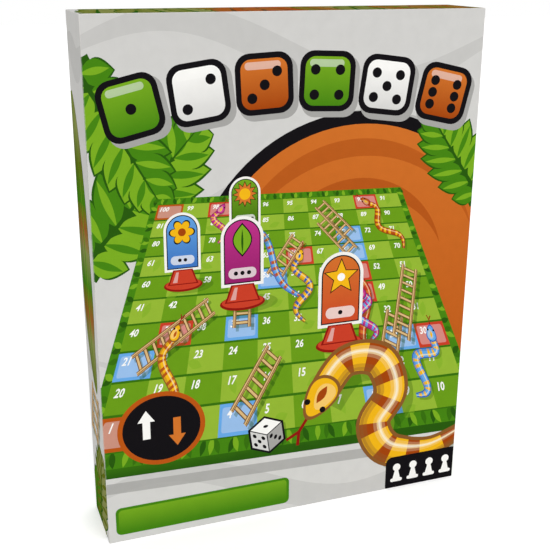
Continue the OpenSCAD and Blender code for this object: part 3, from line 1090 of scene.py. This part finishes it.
def turnIn(bm, around, middle, size, panelY, inward):
    # the paper goes over the rim and down inside, and its back follows the board's outer faces to the panel
    inkPairs = [segmentInk(bm, p, q) for p, q in zip(around, around[1:] + around[:1])]

    def drawnIn(value, half, inset, small):
        # the place of a rim corner along one axis after the loop is drawn in
        straight, core = half - foldR, half - inset - small
        over = abs(value) - straight
        return math.copysign(core + over / foldR * small, value) if over > 0 else value * core / straight

    wrap, wall, rim, turned = [stock[k] for k in ("wrap", "wall", "rim", "turnIn")]
    edge = paperTurn["edge"] * mm
    bevel = edge * 0.3
    profile = [  # inset, drop from the rim, and whether the face that leads there is rounded
        (bevel, bevel, True), (edge, 0, True), (rim - edge, 0, False), (rim - bevel, bevel, True),
        (rim, edge, True), (rim, turned, False), (wall, turned, False), (wall, wrap, False),
        (wrap, wrap, False), (wrap, size.y - wrap, False),
    ]
    loop = around
    for step, (inset, down, rounded) in enumerate(profile):
        small = max(foldR - inset, paperTurn["least"] * mm)
        nextLoop = [bm.verts.new((
            middle.x + drawnIn(v.co.x - middle.x, size.x / 2, inset, small),
            panelY + inward * (size.y - down),
            middle.z + drawnIn(v.co.z - middle.z, size.z / 2, inset, small),
        )) for v in around]
        # the rim's two outer rows: worn print and a painted highlight along the edge
        if step < 2:
            rub(bm, nextLoop)
        for i, (near, far) in enumerate(inkPairs):
            j = (i + 1) % len(around)
            inkFace(bm, [loop[i], loop[j], nextLoop[j], nextLoop[i]], [near, far, far, near], rounded)
        loop = nextLoop
    hub = bm.verts.new((middle.x, panelY + inward * wrap, middle.z))
    for p, q in zip(loop, loop[1:] + loop[:1]):
        inkFace(bm, [p, q, hub], [paperInk] * 3)


def finishPiece(bm, name, body, replaced, material):
    bmesh.ops.recalc_face_normals(bm, faces=bm.faces)
    mesh = bpy.data.meshes.new(name)
    bm.to_mesh(mesh)
    bm.free()
    piece = bpy.data.objects.new(name, mesh)
    bpy.context.scene.collection.objects.link(piece)
    mesh.materials.append(material)
    print(name, len(mesh.polygons), "faces")
    if body:
        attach(piece, body)
    if replaced:
        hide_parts(*replaced)
    return piece


# Materials
def addNode(tree, kind, settings=None, links=None):
    # adds a node and returns its outputs
    node = tree.nodes.new("ShaderNode" + kind)
    for name, value in (settings or {}).items():
        if isinstance(name, int) or name in node.inputs:
            node.inputs[name].default_value = value
        else:
            setattr(node, name, value)
    for name, source in (links or {}).items():
        tree.links.new(source, node.inputs[name])
    return node.outputs


def newMaterial(name):
    material = bpy.data.materials.new(name)
    material.use_nodes = True
    tree = material.node_tree
    tree.nodes.clear()
    return material, tree, addNode(tree, "TexCoord")["Object"]


def mottled(tree, pattern, under, over, span=(0.35, 0.65), cover=(0, 1)):
    # a second tone over the first where the pattern lies in span; a tone is a hex colour or a link
    fromTo = {"From Min": span[0], "From Max": span[1], "To Min": cover[0], "To Max": cover[1]}
    share = addNode(tree, "MapRange", fromTo, {"Value": pattern})["Result"]
    settings, links = {"data_type": "RGBA"}, {0: share}
    for socket, tone in ((6, under), (7, over)):
        if isinstance(tone, str):
            settings[socket] = (*toLinear(tone), 1)
        else:
            links[socket] = tone
    return addNode(tree, "Mix", settings, links)[2]


def inked(tree, pattern, thin, full):
    # the ink that is printed on the mesh, a little uneven
    printed = addNode(tree, "Attribute", {"attribute_name": "ink"})["Color"]
    fromTo = {"From Min": 0.3, "From Max": 0.7, "To Min": thin, "To Max": full}
    density = addNode(tree, "MapRange", fromTo, {"Value": pattern})["Result"]
    return addNode(tree, "VectorMath", {"operation": "SCALE"}, {0: printed, "Scale": density})[0]


def linen(tree, place, threadMm):
    # crossed fine ribs from an embossing roller; at a scale of 1 the wave repeats every tau / 20 metres
    thread = {"Scale": math.tau / 20 / (threadMm * mm), "Distortion": 0.6, "Detail": 1.0}
    warp, weft = [addNode(tree, "TexWave", {"bands_direction": way, **thread}, {"Vector": place})["Fac"]
                  for way in ("X", "Z")]
    return addNode(tree, "Math", {"operation": "MAXIMUM"}, {0: warp, 1: weft})[0]


def finishMaterial(material, tree, base, pattern, dull, settings, height, bump=(0.03, 0.3), span=(0, 1)):
    # dull: the roughness at both ends of the pattern's span; bump: its depth in millimetres and its strength
    fromTo = {"From Min": span[0], "From Max": span[1], "To Min": dull[0], "To Max": dull[1]}
    roughness = addNode(tree, "MapRange", fromTo, {"Value": pattern})["Result"]
    relief = addNode(tree, "Bump", {"Strength": bump[1], "Distance": bump[0] * mm}, {"Height": height})
    surface = addNode(tree, "BsdfPrincipled", settings,
                      {"Base Color": base, "Roughness": roughness, "Normal": relief["Normal"]})
    addNode(tree, "OutputMaterial", links={"Surface": surface["BSDF"]})
    return material


def printedStock(name, dull, shine, wearAndHighlight=0.0, threadMm=None):
    material, tree, place = newMaterial(name)
    cloud = addNode(tree, "TexNoise", {"Scale": 1 / (6 * mm), "Detail": 3}, {"Vector": place})["Fac"]
    base = inked(tree, cloud, 0.98, 1.02)
    # pale paper where the print is marked worn, which also paints a highlight along the folds and rim edges
    if wearAndHighlight:
        wornAndHighlit = addNode(tree, "Attribute", {"attribute_name": "wearAndHighlight"})["Fac"]
        fibres = addNode(tree, "TexNoise", {"Scale": 1 / (1.6 * mm), "Detail": 4, "Roughness": 0.7},
                         {"Vector": place})["Fac"]
        fromTo = {"From Min": 0.42, "From Max": 0.64, "To Min": wearAndHighlight * 0.4, "To Max": wearAndHighlight}
        fibreWearAndHighlight = addNode(tree, "MapRange", fromTo, {"Value": fibres})["Result"]
        bareAndHighlit = addNode(tree, "Math", {"operation": "MULTIPLY"}, {0: fibreWearAndHighlight, 1: wornAndHighlit})[0]
        white = {"data_type": "RGBA", 7: (*toLinear("#f1eee6"), 1)}
        base = addNode(tree, "Mix", white, {0: bareAndHighlit, 6: base})[2]
    if threadMm:
        height, bump = linen(tree, place, threadMm), (0.06, 0.45)
    else:
        height = addNode(tree, "TexNoise", {"Scale": 1 / (0.7 * mm), "Detail": 2}, {"Vector": place})["Fac"]
        bump = (0.03, 0.12)
    return finishMaterial(material, tree, base, cloud, (dull - 0.04, dull + 0.04),
                          {"IOR": 1.5, "Specular IOR Level": shine}, height, bump, (0.3, 0.7))


# Offset print on coated art paper, matt varnished: even inks that hold their colour at a slant, and a few
# white fibres where the folds rub, made strong enough that the pale folds are also a painted highlight
def coatedArtPaper():
    return printedStock("coated_art_paper", 0.55, 0.0, wearAndHighlight=0.36)


# Offset print embossed with a linen roller, as on folding game boards: the ribs, 0.5 mm apart on the real one
# and drawn 1.2 mm apart to show, break up the shine
def linenBoardPaper():
    return printedStock("linen_embossed_print", 0.5, 0.15, threadMm=1.2)


# Die-cut playing card board, printed both sides and aqueous coated: satin
def dieCutCard():
    return printedStock("die_cut_card", 0.42, 0.15)


# Uncoated offset paper: dull, slightly toothed
def offsetPaper():
    return printedStock("uncoated_offset_paper", 0.78, 0.15)


# Recycled greyboard: matt pulp with dark and pale flecks about a millimetre long
def greyboardPulp():
    material, tree, place = newMaterial("greyboard_pulp")
    tone = "#918b81"
    for grainMm, settings, over, span, most in (
        (9, {"Detail": 4}, "#a0998d", (0.35, 0.65), 1),
        (1.1, {"Detail": 2, "Roughness": 0.6}, "#5d564c", (0.62, 0.72), 0.6),
        (0.8, {"Detail": 2, "Roughness": 0.6}, "#c9c3b6", (0.64, 0.74), 0.55),
    ):
        grain = addNode(tree, "TexNoise", {"Scale": 1 / (grainMm * mm), **settings}, {"Vector": place})["Fac"]
        tone = mottled(tree, grain, tone, over, span, (0, most))
    fibres = addNode(tree, "TexNoise", {"Scale": 1 / (0.9 * mm), "Detail": 4, "Roughness": 0.65},
                     {"Vector": place})["Fac"]
    return finishMaterial(material, tree, tone, fibres, (0.82, 0.95), {"IOR": 1.45}, fibres, (0.08, 0.5))


# Gummed kraft tape: brown, faintly streaked along the machine direction
def kraftTape():
    material, tree, place = newMaterial("gummed_kraft_tape")
    streaks = addNode(tree, "Mapping", {"Scale": (1, 1, 0.08)}, {"Vector": place})["Vector"]
    fibres = addNode(tree, "TexNoise", {"Scale": 1 / (0.9 * mm), "Detail": 4, "Roughness": 0.6},
                     {"Vector": streaks})["Fac"]
    base = mottled(tree, fibres, "#ad8a5c", "#c8a878")
    return finishMaterial(material, tree, base, fibres, (0.62, 0.75), {"IOR": 1.5}, fibres)


# Folding boxboard, white lined: creamy white with a faint pulp cloud, semi matt
def foldingBoxboard():
    material, tree, place = newMaterial("folding_boxboard")
    cloud, specks, fibres = [
        addNode(tree, "TexNoise", {"Scale": 1 / (grainMm * mm), "Detail": detail, "Roughness": roughness},
                {"Vector": place})["Fac"]
        for grainMm, detail, roughness in ((12, 5, 0.5), (1.0, 2, 0.6), (0.8, 3, 0.6))
    ]
    base = mottled(tree, cloud, "#e9e6de", "#efece5")
    flecked = mottled(tree, specks, base, "#b9b2a4", (0.66, 0.76), (0, 0.25))
    return finishMaterial(material, tree, flecked, fibres, (0.55, 0.68), {"IOR": 1.48}, fibres, (0.04, 0.3))


# Dyed backing paper with the same linen embossing: deep green, a little paler in the hollows between the ribs
def linenBacking():
    material, tree, place = newMaterial("linen_backing_paper")
    ribs = linen(tree, place, 1.2)
    cloud = addNode(tree, "TexNoise", {"Scale": 1 / (14 * mm), "Detail": 3}, {"Vector": place})["Fac"]
    shade = mottled(tree, cloud, "#2c6a17", "#35781c")
    base = mottled(tree, ribs, shade, "#5e9a3c", (0.1, 0.7), (0.22, 0))
    return finishMaterial(material, tree, base, ribs, (0.62, 0.48), {"IOR": 1.5}, ribs, (0.03, 0.35))


# Polystyrene, injection moulded: glossy red, with faint flow marks and a trace of orange peel
def mouldedPolystyrene():
    material, tree, place = newMaterial("moulded_polystyrene")
    flow, peel = [
        addNode(tree, "TexNoise", {"Scale": 1 / (grainMm * mm), "Detail": 2}, {"Vector": place})["Fac"]
        for grainMm in (7, 0.9)
    ]
    base = mottled(tree, flow, "#b01214", "#c41b1a", (0.3, 0.7))
    settings = {"IOR": 1.59, "Subsurface Weight": 0.06, "Subsurface Scale": 0.8 * mm}
    return finishMaterial(material, tree, base, flow, (0.2, 0.3), settings, peel, (0.03, 0.08))


# Urea resin, pressed and tumbled: ivory white with a soft polish, its pips painted
def tumbledUrea():
    material, tree, place = newMaterial("tumbled_urea_resin")
    cloud = addNode(tree, "TexNoise", {"Scale": 1 / (5 * mm), "Detail": 2}, {"Vector": place})["Fac"]
    scuffs = addNode(tree, "TexNoise", {"Scale": 1 / (0.6 * mm), "Detail": 4, "Roughness": 0.7},
                     {"Vector": place})["Fac"]
    base = inked(tree, cloud, 0.985, 1.01)
    settings = {"IOR": 1.55, "Subsurface Weight": 0.08, "Subsurface Scale": 0.6 * mm}
    return finishMaterial(material, tree, base, scuffs, (0.22, 0.36), settings, scuffs, (0.03, 0.015),
                          (0.3, 0.7))


artPaper, boardPaper, cardStock = coatedArtPaper(), linenBoardPaper(), dieCutCard()


def dress(material, *names):
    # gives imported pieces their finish
    for name in names:
        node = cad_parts[name]
        node.data.materials.clear()
        node.data.materials.append(material)


dress(greyboardPulp(), "lid_board", "base_board", "back_leaf_core", "front_leaf_core")
dress(kraftTape(), "lid_corner_stays", "base_corner_stays")
dress(linenBacking(), "back_leaf_backing", "front_leaf_backing")
print("materials ready")

lidSheets = {
    "panel": lidFront(),
    "left": lidSide(0.9), "right": lidSide(2.2), "top": lidEnd(0.3), "bottom": lidEnd(1.9),
}
baseSheets = {
    "panel": basePanel(),
    "left": baseWall(baseD, baseH), "right": baseWall(baseD, baseH),
    "top": baseWall(baseW, baseD), "bottom": baseWall(baseW, baseD),
}
for name, low, high, facing, sheets in (("lid", lidLow, lidHigh, -1, lidSheets),
                                        ("base", baseLow, baseHigh, 1, baseSheets)):
    bm = wrapTray(low, high, facing, sheets)
    finishPiece(bm, f"{name}_printed_wrap", name, [f"{name}_wrap"], artPaper)
print("box wrapped")


# Folding board: two printed leaves and the crease between them
def buildBoard():
    sheet = newSheet(board["width"], board["height"])
    drawBoard(sheet)
    backLow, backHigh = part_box("back_leaf_face")
    frontLow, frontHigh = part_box("front_leaf_face")
    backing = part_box("back_leaf_backing")[0]
    left, floorZ = backing.x, backing.z
    hingeX = left + board["leafW"] * mm
    low, high = [(z - floorZ) / mm for z in (backLow.z, backHigh.z)]
    firstA, lastA = (backLow.x - left) / mm, (backHigh.x - left) / mm
    right, up = Vector((1, 0, 0)), Vector((0, 0, 1))
    leaves = [
        ("back", left, right, firstA, lastA, (backLow.y, backHigh.y)),
        ("front", hingeX + board["leafW"] * mm, -right, board["width"] - lastA, board["width"] - firstA,
         (frontHigh.y, frontLow.y)),
    ]
    for name, originX, along, start, end, sides in leaves:
        printed, glued = [onPlane(Vector((originX, y, floorZ)), along, up) for y in sides]
        bm = newPrint()
        printSheet(bm, sheet, rectangle(start, low, end, high), printed, glued, flatBack=True)
        finishPiece(bm, f"{name}_leaf_print", f"board_{name}", [f"{name}_leaf_face"],
                    boardPaper)
    # the print runs over the fold in a narrow turn
    turnR, thick = (backLow.y - frontHigh.y) / 2, backHigh.y - backLow.y
    middleY = (backLow.y + frontHigh.y) / 2
    start, end = lastA, board["width"] - lastA
    cutFolds(sheet, start, end, low, high)

    def turned(radius):
        def lay(a, b):
            angle = math.pi / 2 - math.pi * (a - start) / (end - start)
            across, out = radius * math.cos(angle), radius * math.sin(angle)
            return Vector((backHigh.x + across, middleY + out, floorZ + b * mm))
        return lay

    bm = newPrint()
    printSheet(bm, sheet, rectangle(start, low, end, high), turned(turnR), turned(turnR + thick))
    crease = finishPiece(bm, "board_crease", None, [], boardPaper)
    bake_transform(crease, "board_back", "board_front", start=(hingeX, backLow.y, 0), end=(hingeX, frontHigh.y, 0))


buildBoard()
print("board printed")


# One card or paper bent along a path that is seen from above, with rounded folds
def roundedPath(knots, radius, steps=5):
    path = [Vector(knots[0])]
    for before, knot, after in zip(knots, knots[1:], knots[2:]):
        knot, backward, onward = Vector(knot), Vector(before) - Vector(knot), Vector(after) - Vector(knot)
        start, end = knot + backward.normalized() * radius, knot + onward.normalized() * radius
        centre = start + onward.normalized() * radius
        for i in range(steps + 1):
            turn = math.pi / 2 * i / steps
            path.append(centre + (start - centre) * math.cos(turn) + (end - centre) * math.sin(turn))
    return path + [Vector(knots[-1])]


def bentCard(path, thick, lowZ, highZ):
    bm = bmesh.new()
    columns = []
    for i, point in enumerate(path):
        before, after = path[max(i - 1, 0)], path[min(i + 1, len(path) - 1)]
        run = (after - before).normalized()
        side = Vector((-run.y, run.x)) * thick / 2
        spots = [(p.x, p.y, z) for p in (point - side, point + side) for z in (lowZ, highZ)]
        columns.append([bm.verts.new(spot) for spot in spots])
    for near, far in zip(columns, columns[1:]):
        for i, j in ((0, 1), (1, 3), (3, 2), (2, 0)):
            face = bm.faces.new([near[i], far[i], far[j], near[j]])
            face.smooth = True
    for column in (columns[0], columns[-1]):
        bm.faces.new([column[i] for i in (0, 1, 3, 2)])
    return bm


def sharpen(piece, degrees=40):
    # flats stay flat and rounded folds stay smooth
    piece.data.set_sharp_from_angle(angle=math.radians(degrees))


insertCard = {"thick": 0.6 * mm, "foldR": 0.9 * mm, "wellHalf": 46 * mm}


def buildInsert():
    low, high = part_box("insert")
    half, bent = insertCard["thick"] / 2, insertCard["wellHalf"] + insertCard["thick"] / 2
    shelf, floorY = low.y + half, high.y - half
    knots = [(low.x + half, high.y), (low.x + half, shelf), (-bent, shelf), (-bent, floorY),
             (bent, floorY), (bent, shelf), (high.x - half, shelf), (high.x - half, high.y)]
    bm = bentCard(roundedPath(knots, insertCard["foldR"]), insertCard["thick"], low.z, high.z)
    sharpen(finishPiece(bm, "insert_card", "base", ["insert"], foldingBoxboard()))


buildInsert()
print("insert folded")

# The leaflet's pages: four numbered pictures each, in millimetres
leafletArt = {
    "panel": (58, 70, 4), "line": 0.8, "pitch": 64, "rows": (0.66, 0.24),
    "badge": (-21, 26), "badgeR": 5.5, "numberH": 6.5, "figureDown": 4,
    "title": {"margin": 16, "high": 10, "down": 13},
    "figures": {
        "die": 14,
        "ladder": ((-8, -22), (8, 22), 12),
        "snake": ((-8, 20), (6, -22), 1.5, 7, 5, ("leafLight", "leafDark", "leaf")),
        "pawn": ((0, -20), 0.8),
    },
}


def leafletPages(width, height):
    # the sheet's right half is the front page and its left half the back, with the fold in the middle
    sheet = newSheet(width, height)
    wide, high, radius = leafletArt["panel"]
    line, title, figures = leafletArt["line"], leafletArt["title"], list(leafletArt["figures"].items())
    for page in (0, 1):
        pageA = page * width / 2 + width / 4
        for i in range(4):
            a, b = pageA + (i % 2 - 0.5) * leafletArt["pitch"], height * leafletArt["rows"][i // 2]
            ink(sheet, setAt(roundedBox(wide, high, radius), (a, b)), "leaf")
            ink(sheet, setAt(roundedBox(wide - 2 * line, high - 2 * line, radius - 0.6), (a, b)), "paper")
            badge = (a + leafletArt["badge"][0], b + leafletArt["badge"][1])
            ink(sheet, setAt(ellipse(leafletArt["badgeR"]), badge), "leafDark")
            printNumber(sheet, 4 * (1 - page) + i + 1, badge, leafletArt["numberH"], "white")
            kind, figure = figures[(i + 2 * page) % 4]
            drawFigure(sheet, kind, (a, b - leafletArt["figureDown"]), figure, pawnLooks[i])
        bar = roundedBox(width / 2 - title["margin"], title["high"], 3)
        ink(sheet, setAt(bar, (pageA, height - title["down"])), "leaf")
    return sheet


def buildLeaflet():
    low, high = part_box("rules_leaflet")
    thick, bendR = (high.y - low.y) / 3, (high.y - low.y) / 2
    page = (high.x - low.x - bendR) / mm
    around = math.pi * bendR / mm
    height = (high.z - low.z) / mm
    sheet = leafletPages(2 * page + around, height)
    cutFolds(sheet, page, page + around, 0, height)

    def folded(inset):
        # the sheet runs along the back page, round the fold at the left and along the front page
        def lay(a, b):
            z = low.z + b * mm
            if a <= page:
                return Vector((high.x - a * mm, high.y - inset, z))
            if a >= page + around:
                return Vector((low.x + bendR + (a - page - around) * mm, low.y + inset, z))
            angle = math.pi / 2 + math.pi * (a - page) / around
            middle = Vector((low.x + bendR, low.y + bendR, z))
            return middle + Vector((math.cos(angle), math.sin(angle), 0)) * (bendR - inset)
        return lay

    bm = newPrint()
    printSheet(bm, sheet, rectangle(0, 0, *sheet["size"]), folded(0), folded(thick))
    finishPiece(bm, "leaflet_sheet", "leaflet", ["rules_leaflet"], offsetPaper())


buildLeaflet()
print("leaflet folded")


def loft(bm, rings):
    # skins and caps a pile of outlines that have as many points each
    rows = [[bm.verts.new(p) for p in ring] for ring in rings]
    for low, high in zip(rows, rows[1:]):
        for i in range(len(low)):
            j = (i + 1) % len(low)
            face = bm.faces.new([low[i], low[j], high[j], high[i]])
            face.smooth = True
    bm.faces.new(rows[0][::-1])
    bm.faces.new(rows[-1])


def softCorners(outline, cut):
    # three points for each corner, the outer ones at that share of its sides
    soft = []
    for before, knot, after in zip(outline[-1:] + outline[:-1], outline, outline[1:] + outline[:1]):
        ends = between(knot, before, cut), between(knot, after, cut)
        soft += [ends[0], between(knot, between(*ends, 0.5), 0.5), ends[1]]
    return soft


# sunk: how far the jaws go into the foot; cornerCut: how far a corner's softening reaches along its sides
stand = {
    "footW": 26, "footD": 12, "jawT": 2, "jawFootW": 22, "jawTopW": 14, "slot": 1.6, "soft": 0.45,
    "cornerCut": 0.12, "sunk": 0.2,
}


def buildStand(index, material):
    name = f"pawn_stand_{index}"
    low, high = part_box(name)
    middle = Vector(((low.x + high.x) / 2, (low.y + high.y) / 2, low.z))
    bm = bmesh.new()
    soft, footT, jawH, jawT = stand["soft"], pawn["footT"], pawn["jawH"], stand["jawT"]
    foot = [(soft, 0), (soft * 0.3, soft * 0.3), (0, soft), (0, footT - 2 * soft),
            (soft * 0.5, footT - soft * 0.6), (1.6 * soft, footT)]
    rings = []
    for inset, z in foot:
        wide, deep = stand["footW"] - 2 * inset, stand["footD"] - 2 * inset
        outline = roundedBox(wide, deep, deep / 2 - 1e-3, 10)
        rings.append([middle + Vector((a, b, z)) * mm for a, b in outline])
    loft(bm, rings)
    # two jaws hold the card between them
    jaw = [(soft, 0), (0, soft * 0.8), (0, jawT - soft * 0.8), (soft, jawT)]
    for side in (-1, 1):
        rings = []
        for inset, out in jaw:
            footHalf, topHalf = [stand[k] / 2 - inset for k in ("jawFootW", "jawTopW")]
            outline = [(-footHalf, 0), (footHalf, 0), (topHalf, jawH - inset), (-topHalf, jawH - inset)]
            y, lift = side * (stand["slot"] / 2 + out), footT - stand["sunk"]
            soften = softCorners(outline, stand["cornerCut"])
            rings.append([middle + Vector((a, y, z + lift)) * mm for a, z in soften])
        loft(bm, rings)
    sharpen(finishPiece(bm, f"clip_stand_{index}", f"pawn_{index}", [name], material), 50)


def buildCard(index, look):
    name = f"pawn_card_{index}"
    low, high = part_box(name)
    middleX = (low.x + high.x) / 2
    tab, tabH = pawn["tabW"] / 2, pawn["jawH"]
    sheet = newSheet(pawn["cardW"], pawn["cardH"] + tabH)
    drawCard(sheet, look, (0, tabH))
    body = [(a, b + tabH) for a, b in cardOutline()]
    clip = [(-tab, 0), (tab, 0), (tab, tabH)] + body[1:] + body[:1] + [(-tab, tabH)]
    right, up = Vector((1, 0, 0)), Vector((0, 0, 1))
    front, back = [onPlane(Vector((middleX, y, low.z)), right, up) for y in (low.y, high.y)]
    bm = newPrint()
    printSheet(bm, sheet, clip, front, back, printedBack=True)
    finishPiece(bm, f"figure_card_{index}", f"pawn_{index}", [name], cardStock)


redPlastic = mouldedPolystyrene()
for index, look in enumerate(pawnLooks, 1):
    buildCard(index, look)
    buildStand(index, redPlastic)
print("pawns stand")


# The die, and each face's number with the directions of its outward side and its right
die = {"edge": 16, "cornerCut": 2.6, "soft": 0.7, "pipD": 2.8, "pipDepth": 0.38, "pitch": 4, "spokes": 64}
dieFaces = {
    1: ((0, 0, 1), (1, 0, 0)), 6: ((0, 0, -1), (1, 0, 0)), 2: ((0, -1, 0), (1, 0, 0)),
    5: ((0, 1, 0), (-1, 0, 0)), 3: ((1, 0, 0), (0, 1, 0)), 4: ((-1, 0, 0), (0, -1, 0)),
}
dieHalf = die["edge"] / 2
dieBall = dieHalf * math.sqrt(3) - die["cornerCut"]  # the ball that cuts the corners


def ontoDie(a, b, pips):
    # from the flat face to the soft edge, the hollow pips and the corners cut round
    core = dieHalf - die["soft"]
    inner = (max(-core, min(core, a)), max(-core, min(core, b)))
    away = Vector((a - inner[0], b - inner[1], die["soft"])).normalized() * die["soft"]
    place = Vector((inner[0] + away.x, inner[1] + away.y, core + away.z))
    for pip in pips:
        far = math.hypot(a - pip[0], b - pip[1]) / (die["pipD"] / 2)
        if far < 1:
            place.z -= die["pipDepth"] * (1 - far * far) ** 0.7
    return place * min(1, dieBall / place.length)


def dieSheet(square, pips):
    # white, cut by clear rings where the face curves, with the pips painted in
    soft = die["soft"]
    sheet = newSheet(die["edge"], die["edge"])
    ink(sheet, setAt(square, (0, 0), 0, dieHalf * 1.01), "white")
    flatR = math.sqrt(dieBall ** 2 - dieHalf ** 2)
    for reach in [flatR - soft * k for k in (1, 0.5, 0)] + [flatR + 0.55 * k for k in range(1, 7)]:
        ink(sheet, ellipse(reach, points=die["spokes"]), flat("white", 0))
    for share in (0.55, 0.8):
        ink(sheet, setAt(square, (0, 0), 0, dieHalf - soft + soft * share), flat("white", 0))
    for pip in pips:
        for share in (1, 0.94, 0.72, 0.4):
            ring = setAt(ellipse(die["pipD"] / 2 * share, points=24), pip)
            ink(sheet, ring, "black" if share < 1 else flat("black", 0.35))
    return sheet


def buildDie():
    low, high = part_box("die_cube")
    middle = (low + high) / 2
    square = [(c / max(abs(c), abs(s)), s / max(abs(c), abs(s))) for c, s in ellipse(1, points=die["spokes"])]
    bm = newPrint()
    for number, (normal, right) in dieFaces.items():
        normal, right = Vector(normal), Vector(right)
        up = normal.cross(right)
        pips = [(a * die["pitch"], b * die["pitch"]) for a, b in pipPlaces[number]]

        def lay(a, b, normal=normal, right=right, up=up, pips=pips):
            place = ontoDie(a, b, pips)
            return middle + (right * place.x + up * place.y + normal * place.z) * mm

        printFace(bm, dieSheet(square, pips), setAt(square, (0, 0), 0, dieHalf), lay)
    bmesh.ops.remove_doubles(bm, verts=bm.verts, dist=0.02 * mm)
    for face in bm.faces:
        face.smooth = True
    sharpen(finishPiece(bm, "moulded_die", "die", ["die_cube", "die_pips"], tumbledUrea()), 50)


buildDie()
print("die cast")


# Studio: white floor, even sky, a broad lamp in front, and weaker ones at the left and behind
studio = {
    "sky": 0.64, "floorTone": 0.86, "floorLift": 0.4, "reach": 4.0,
    "lamps": [  # name, strength, angle, and the way it comes from
        ("key", 1.1, 35, (0.2, -0.85, 0.62)),
        ("side", 0.3, 60, (-0.9, -0.15, 0.35)),
        ("fill", 0.75, 60, (0.55, 0.8, 0.3)),
    ],
}


def seenDirectly(tree):
    path = addNode(tree, "LightPath")
    seen = path["Is Camera Ray"]
    for ray in ("Is Transmission Ray", "Is Glossy Ray"):
        seen = addNode(tree, "Math", {"operation": "MAXIMUM"}, {0: seen, 1: path[ray]})[0]
    return seen


def buildSky(scene):
    scene.world = bpy.data.worlds.new("studio")
    scene.world.use_nodes = True
    tree = scene.world.node_tree
    tree.nodes.clear()
    sky, backdrop = [addNode(tree, "Background", {"Color": (1, 1, 1, 1), "Strength": strength})[0]
                     for strength in (studio["sky"], 1.0)]
    mix = addNode(tree, "MixShader", links={0: seenDirectly(tree), 1: sky, 2: backdrop})
    addNode(tree, "OutputWorld", links={"Surface": mix[0]})


def buildFloor(scene):
    reach = studio["reach"]
    mesh = bpy.data.meshes.new("floor")
    mesh.from_pydata([(a, b, 0) for a, b in rectangle(-reach, -reach, reach, reach)], [], [(0, 1, 2, 3)])
    floor = bpy.data.objects.new("floor", mesh)
    scene.collection.objects.link(floor)
    material, tree, _ = newMaterial("white_backdrop_paper")
    matte = addNode(tree, "BsdfDiffuse", {"Color": (*[studio["floorTone"]] * 3, 1)})[0]
    lifted = {"operation": "MULTIPLY", 1: studio["floorLift"]}
    lift = addNode(tree, "Math", lifted, {0: seenDirectly(tree)})[0]
    glow = addNode(tree, "Emission", {"Color": (1, 1, 1, 1)}, {"Strength": lift})[0]
    both = addNode(tree, "AddShader", links={0: matte, 1: glow})[0]
    addNode(tree, "OutputMaterial", links={"Surface": both})
    mesh.materials.append(material)


def buildLamps(scene):
    for name, strength, angle, source in studio["lamps"]:
        lamp = bpy.data.lights.new(name, "SUN")
        lamp.energy, lamp.angle = strength, math.radians(angle)
        holder = bpy.data.objects.new(name, lamp)
        scene.collection.objects.link(holder)
        holder.rotation_euler = (-Vector(source)).to_track_quat("-Z", "Y").to_euler()


camera = {
    "spot": (-0.16788, -0.44520, 0.28983), "turn": (71.490, -0.288, -20.173), "lens": 61.93, "sensor": 36,
}


def placeCamera(scene):
    data = bpy.data.cameras.new("camera")
    data.lens, data.sensor_width = camera["lens"], camera["sensor"]
    scene.camera = bpy.data.objects.new("camera", data)
    scene.collection.objects.link(scene.camera)
    scene.camera.location = camera["spot"]
    scene.camera.rotation_euler = [math.radians(angle) for angle in camera["turn"]]


scene = bpy.context.scene
scene.view_settings.view_transform = "Standard"
buildSky(scene)
buildFloor(scene)
buildLamps(scene)
placeCamera(scene)
print("studio ready")
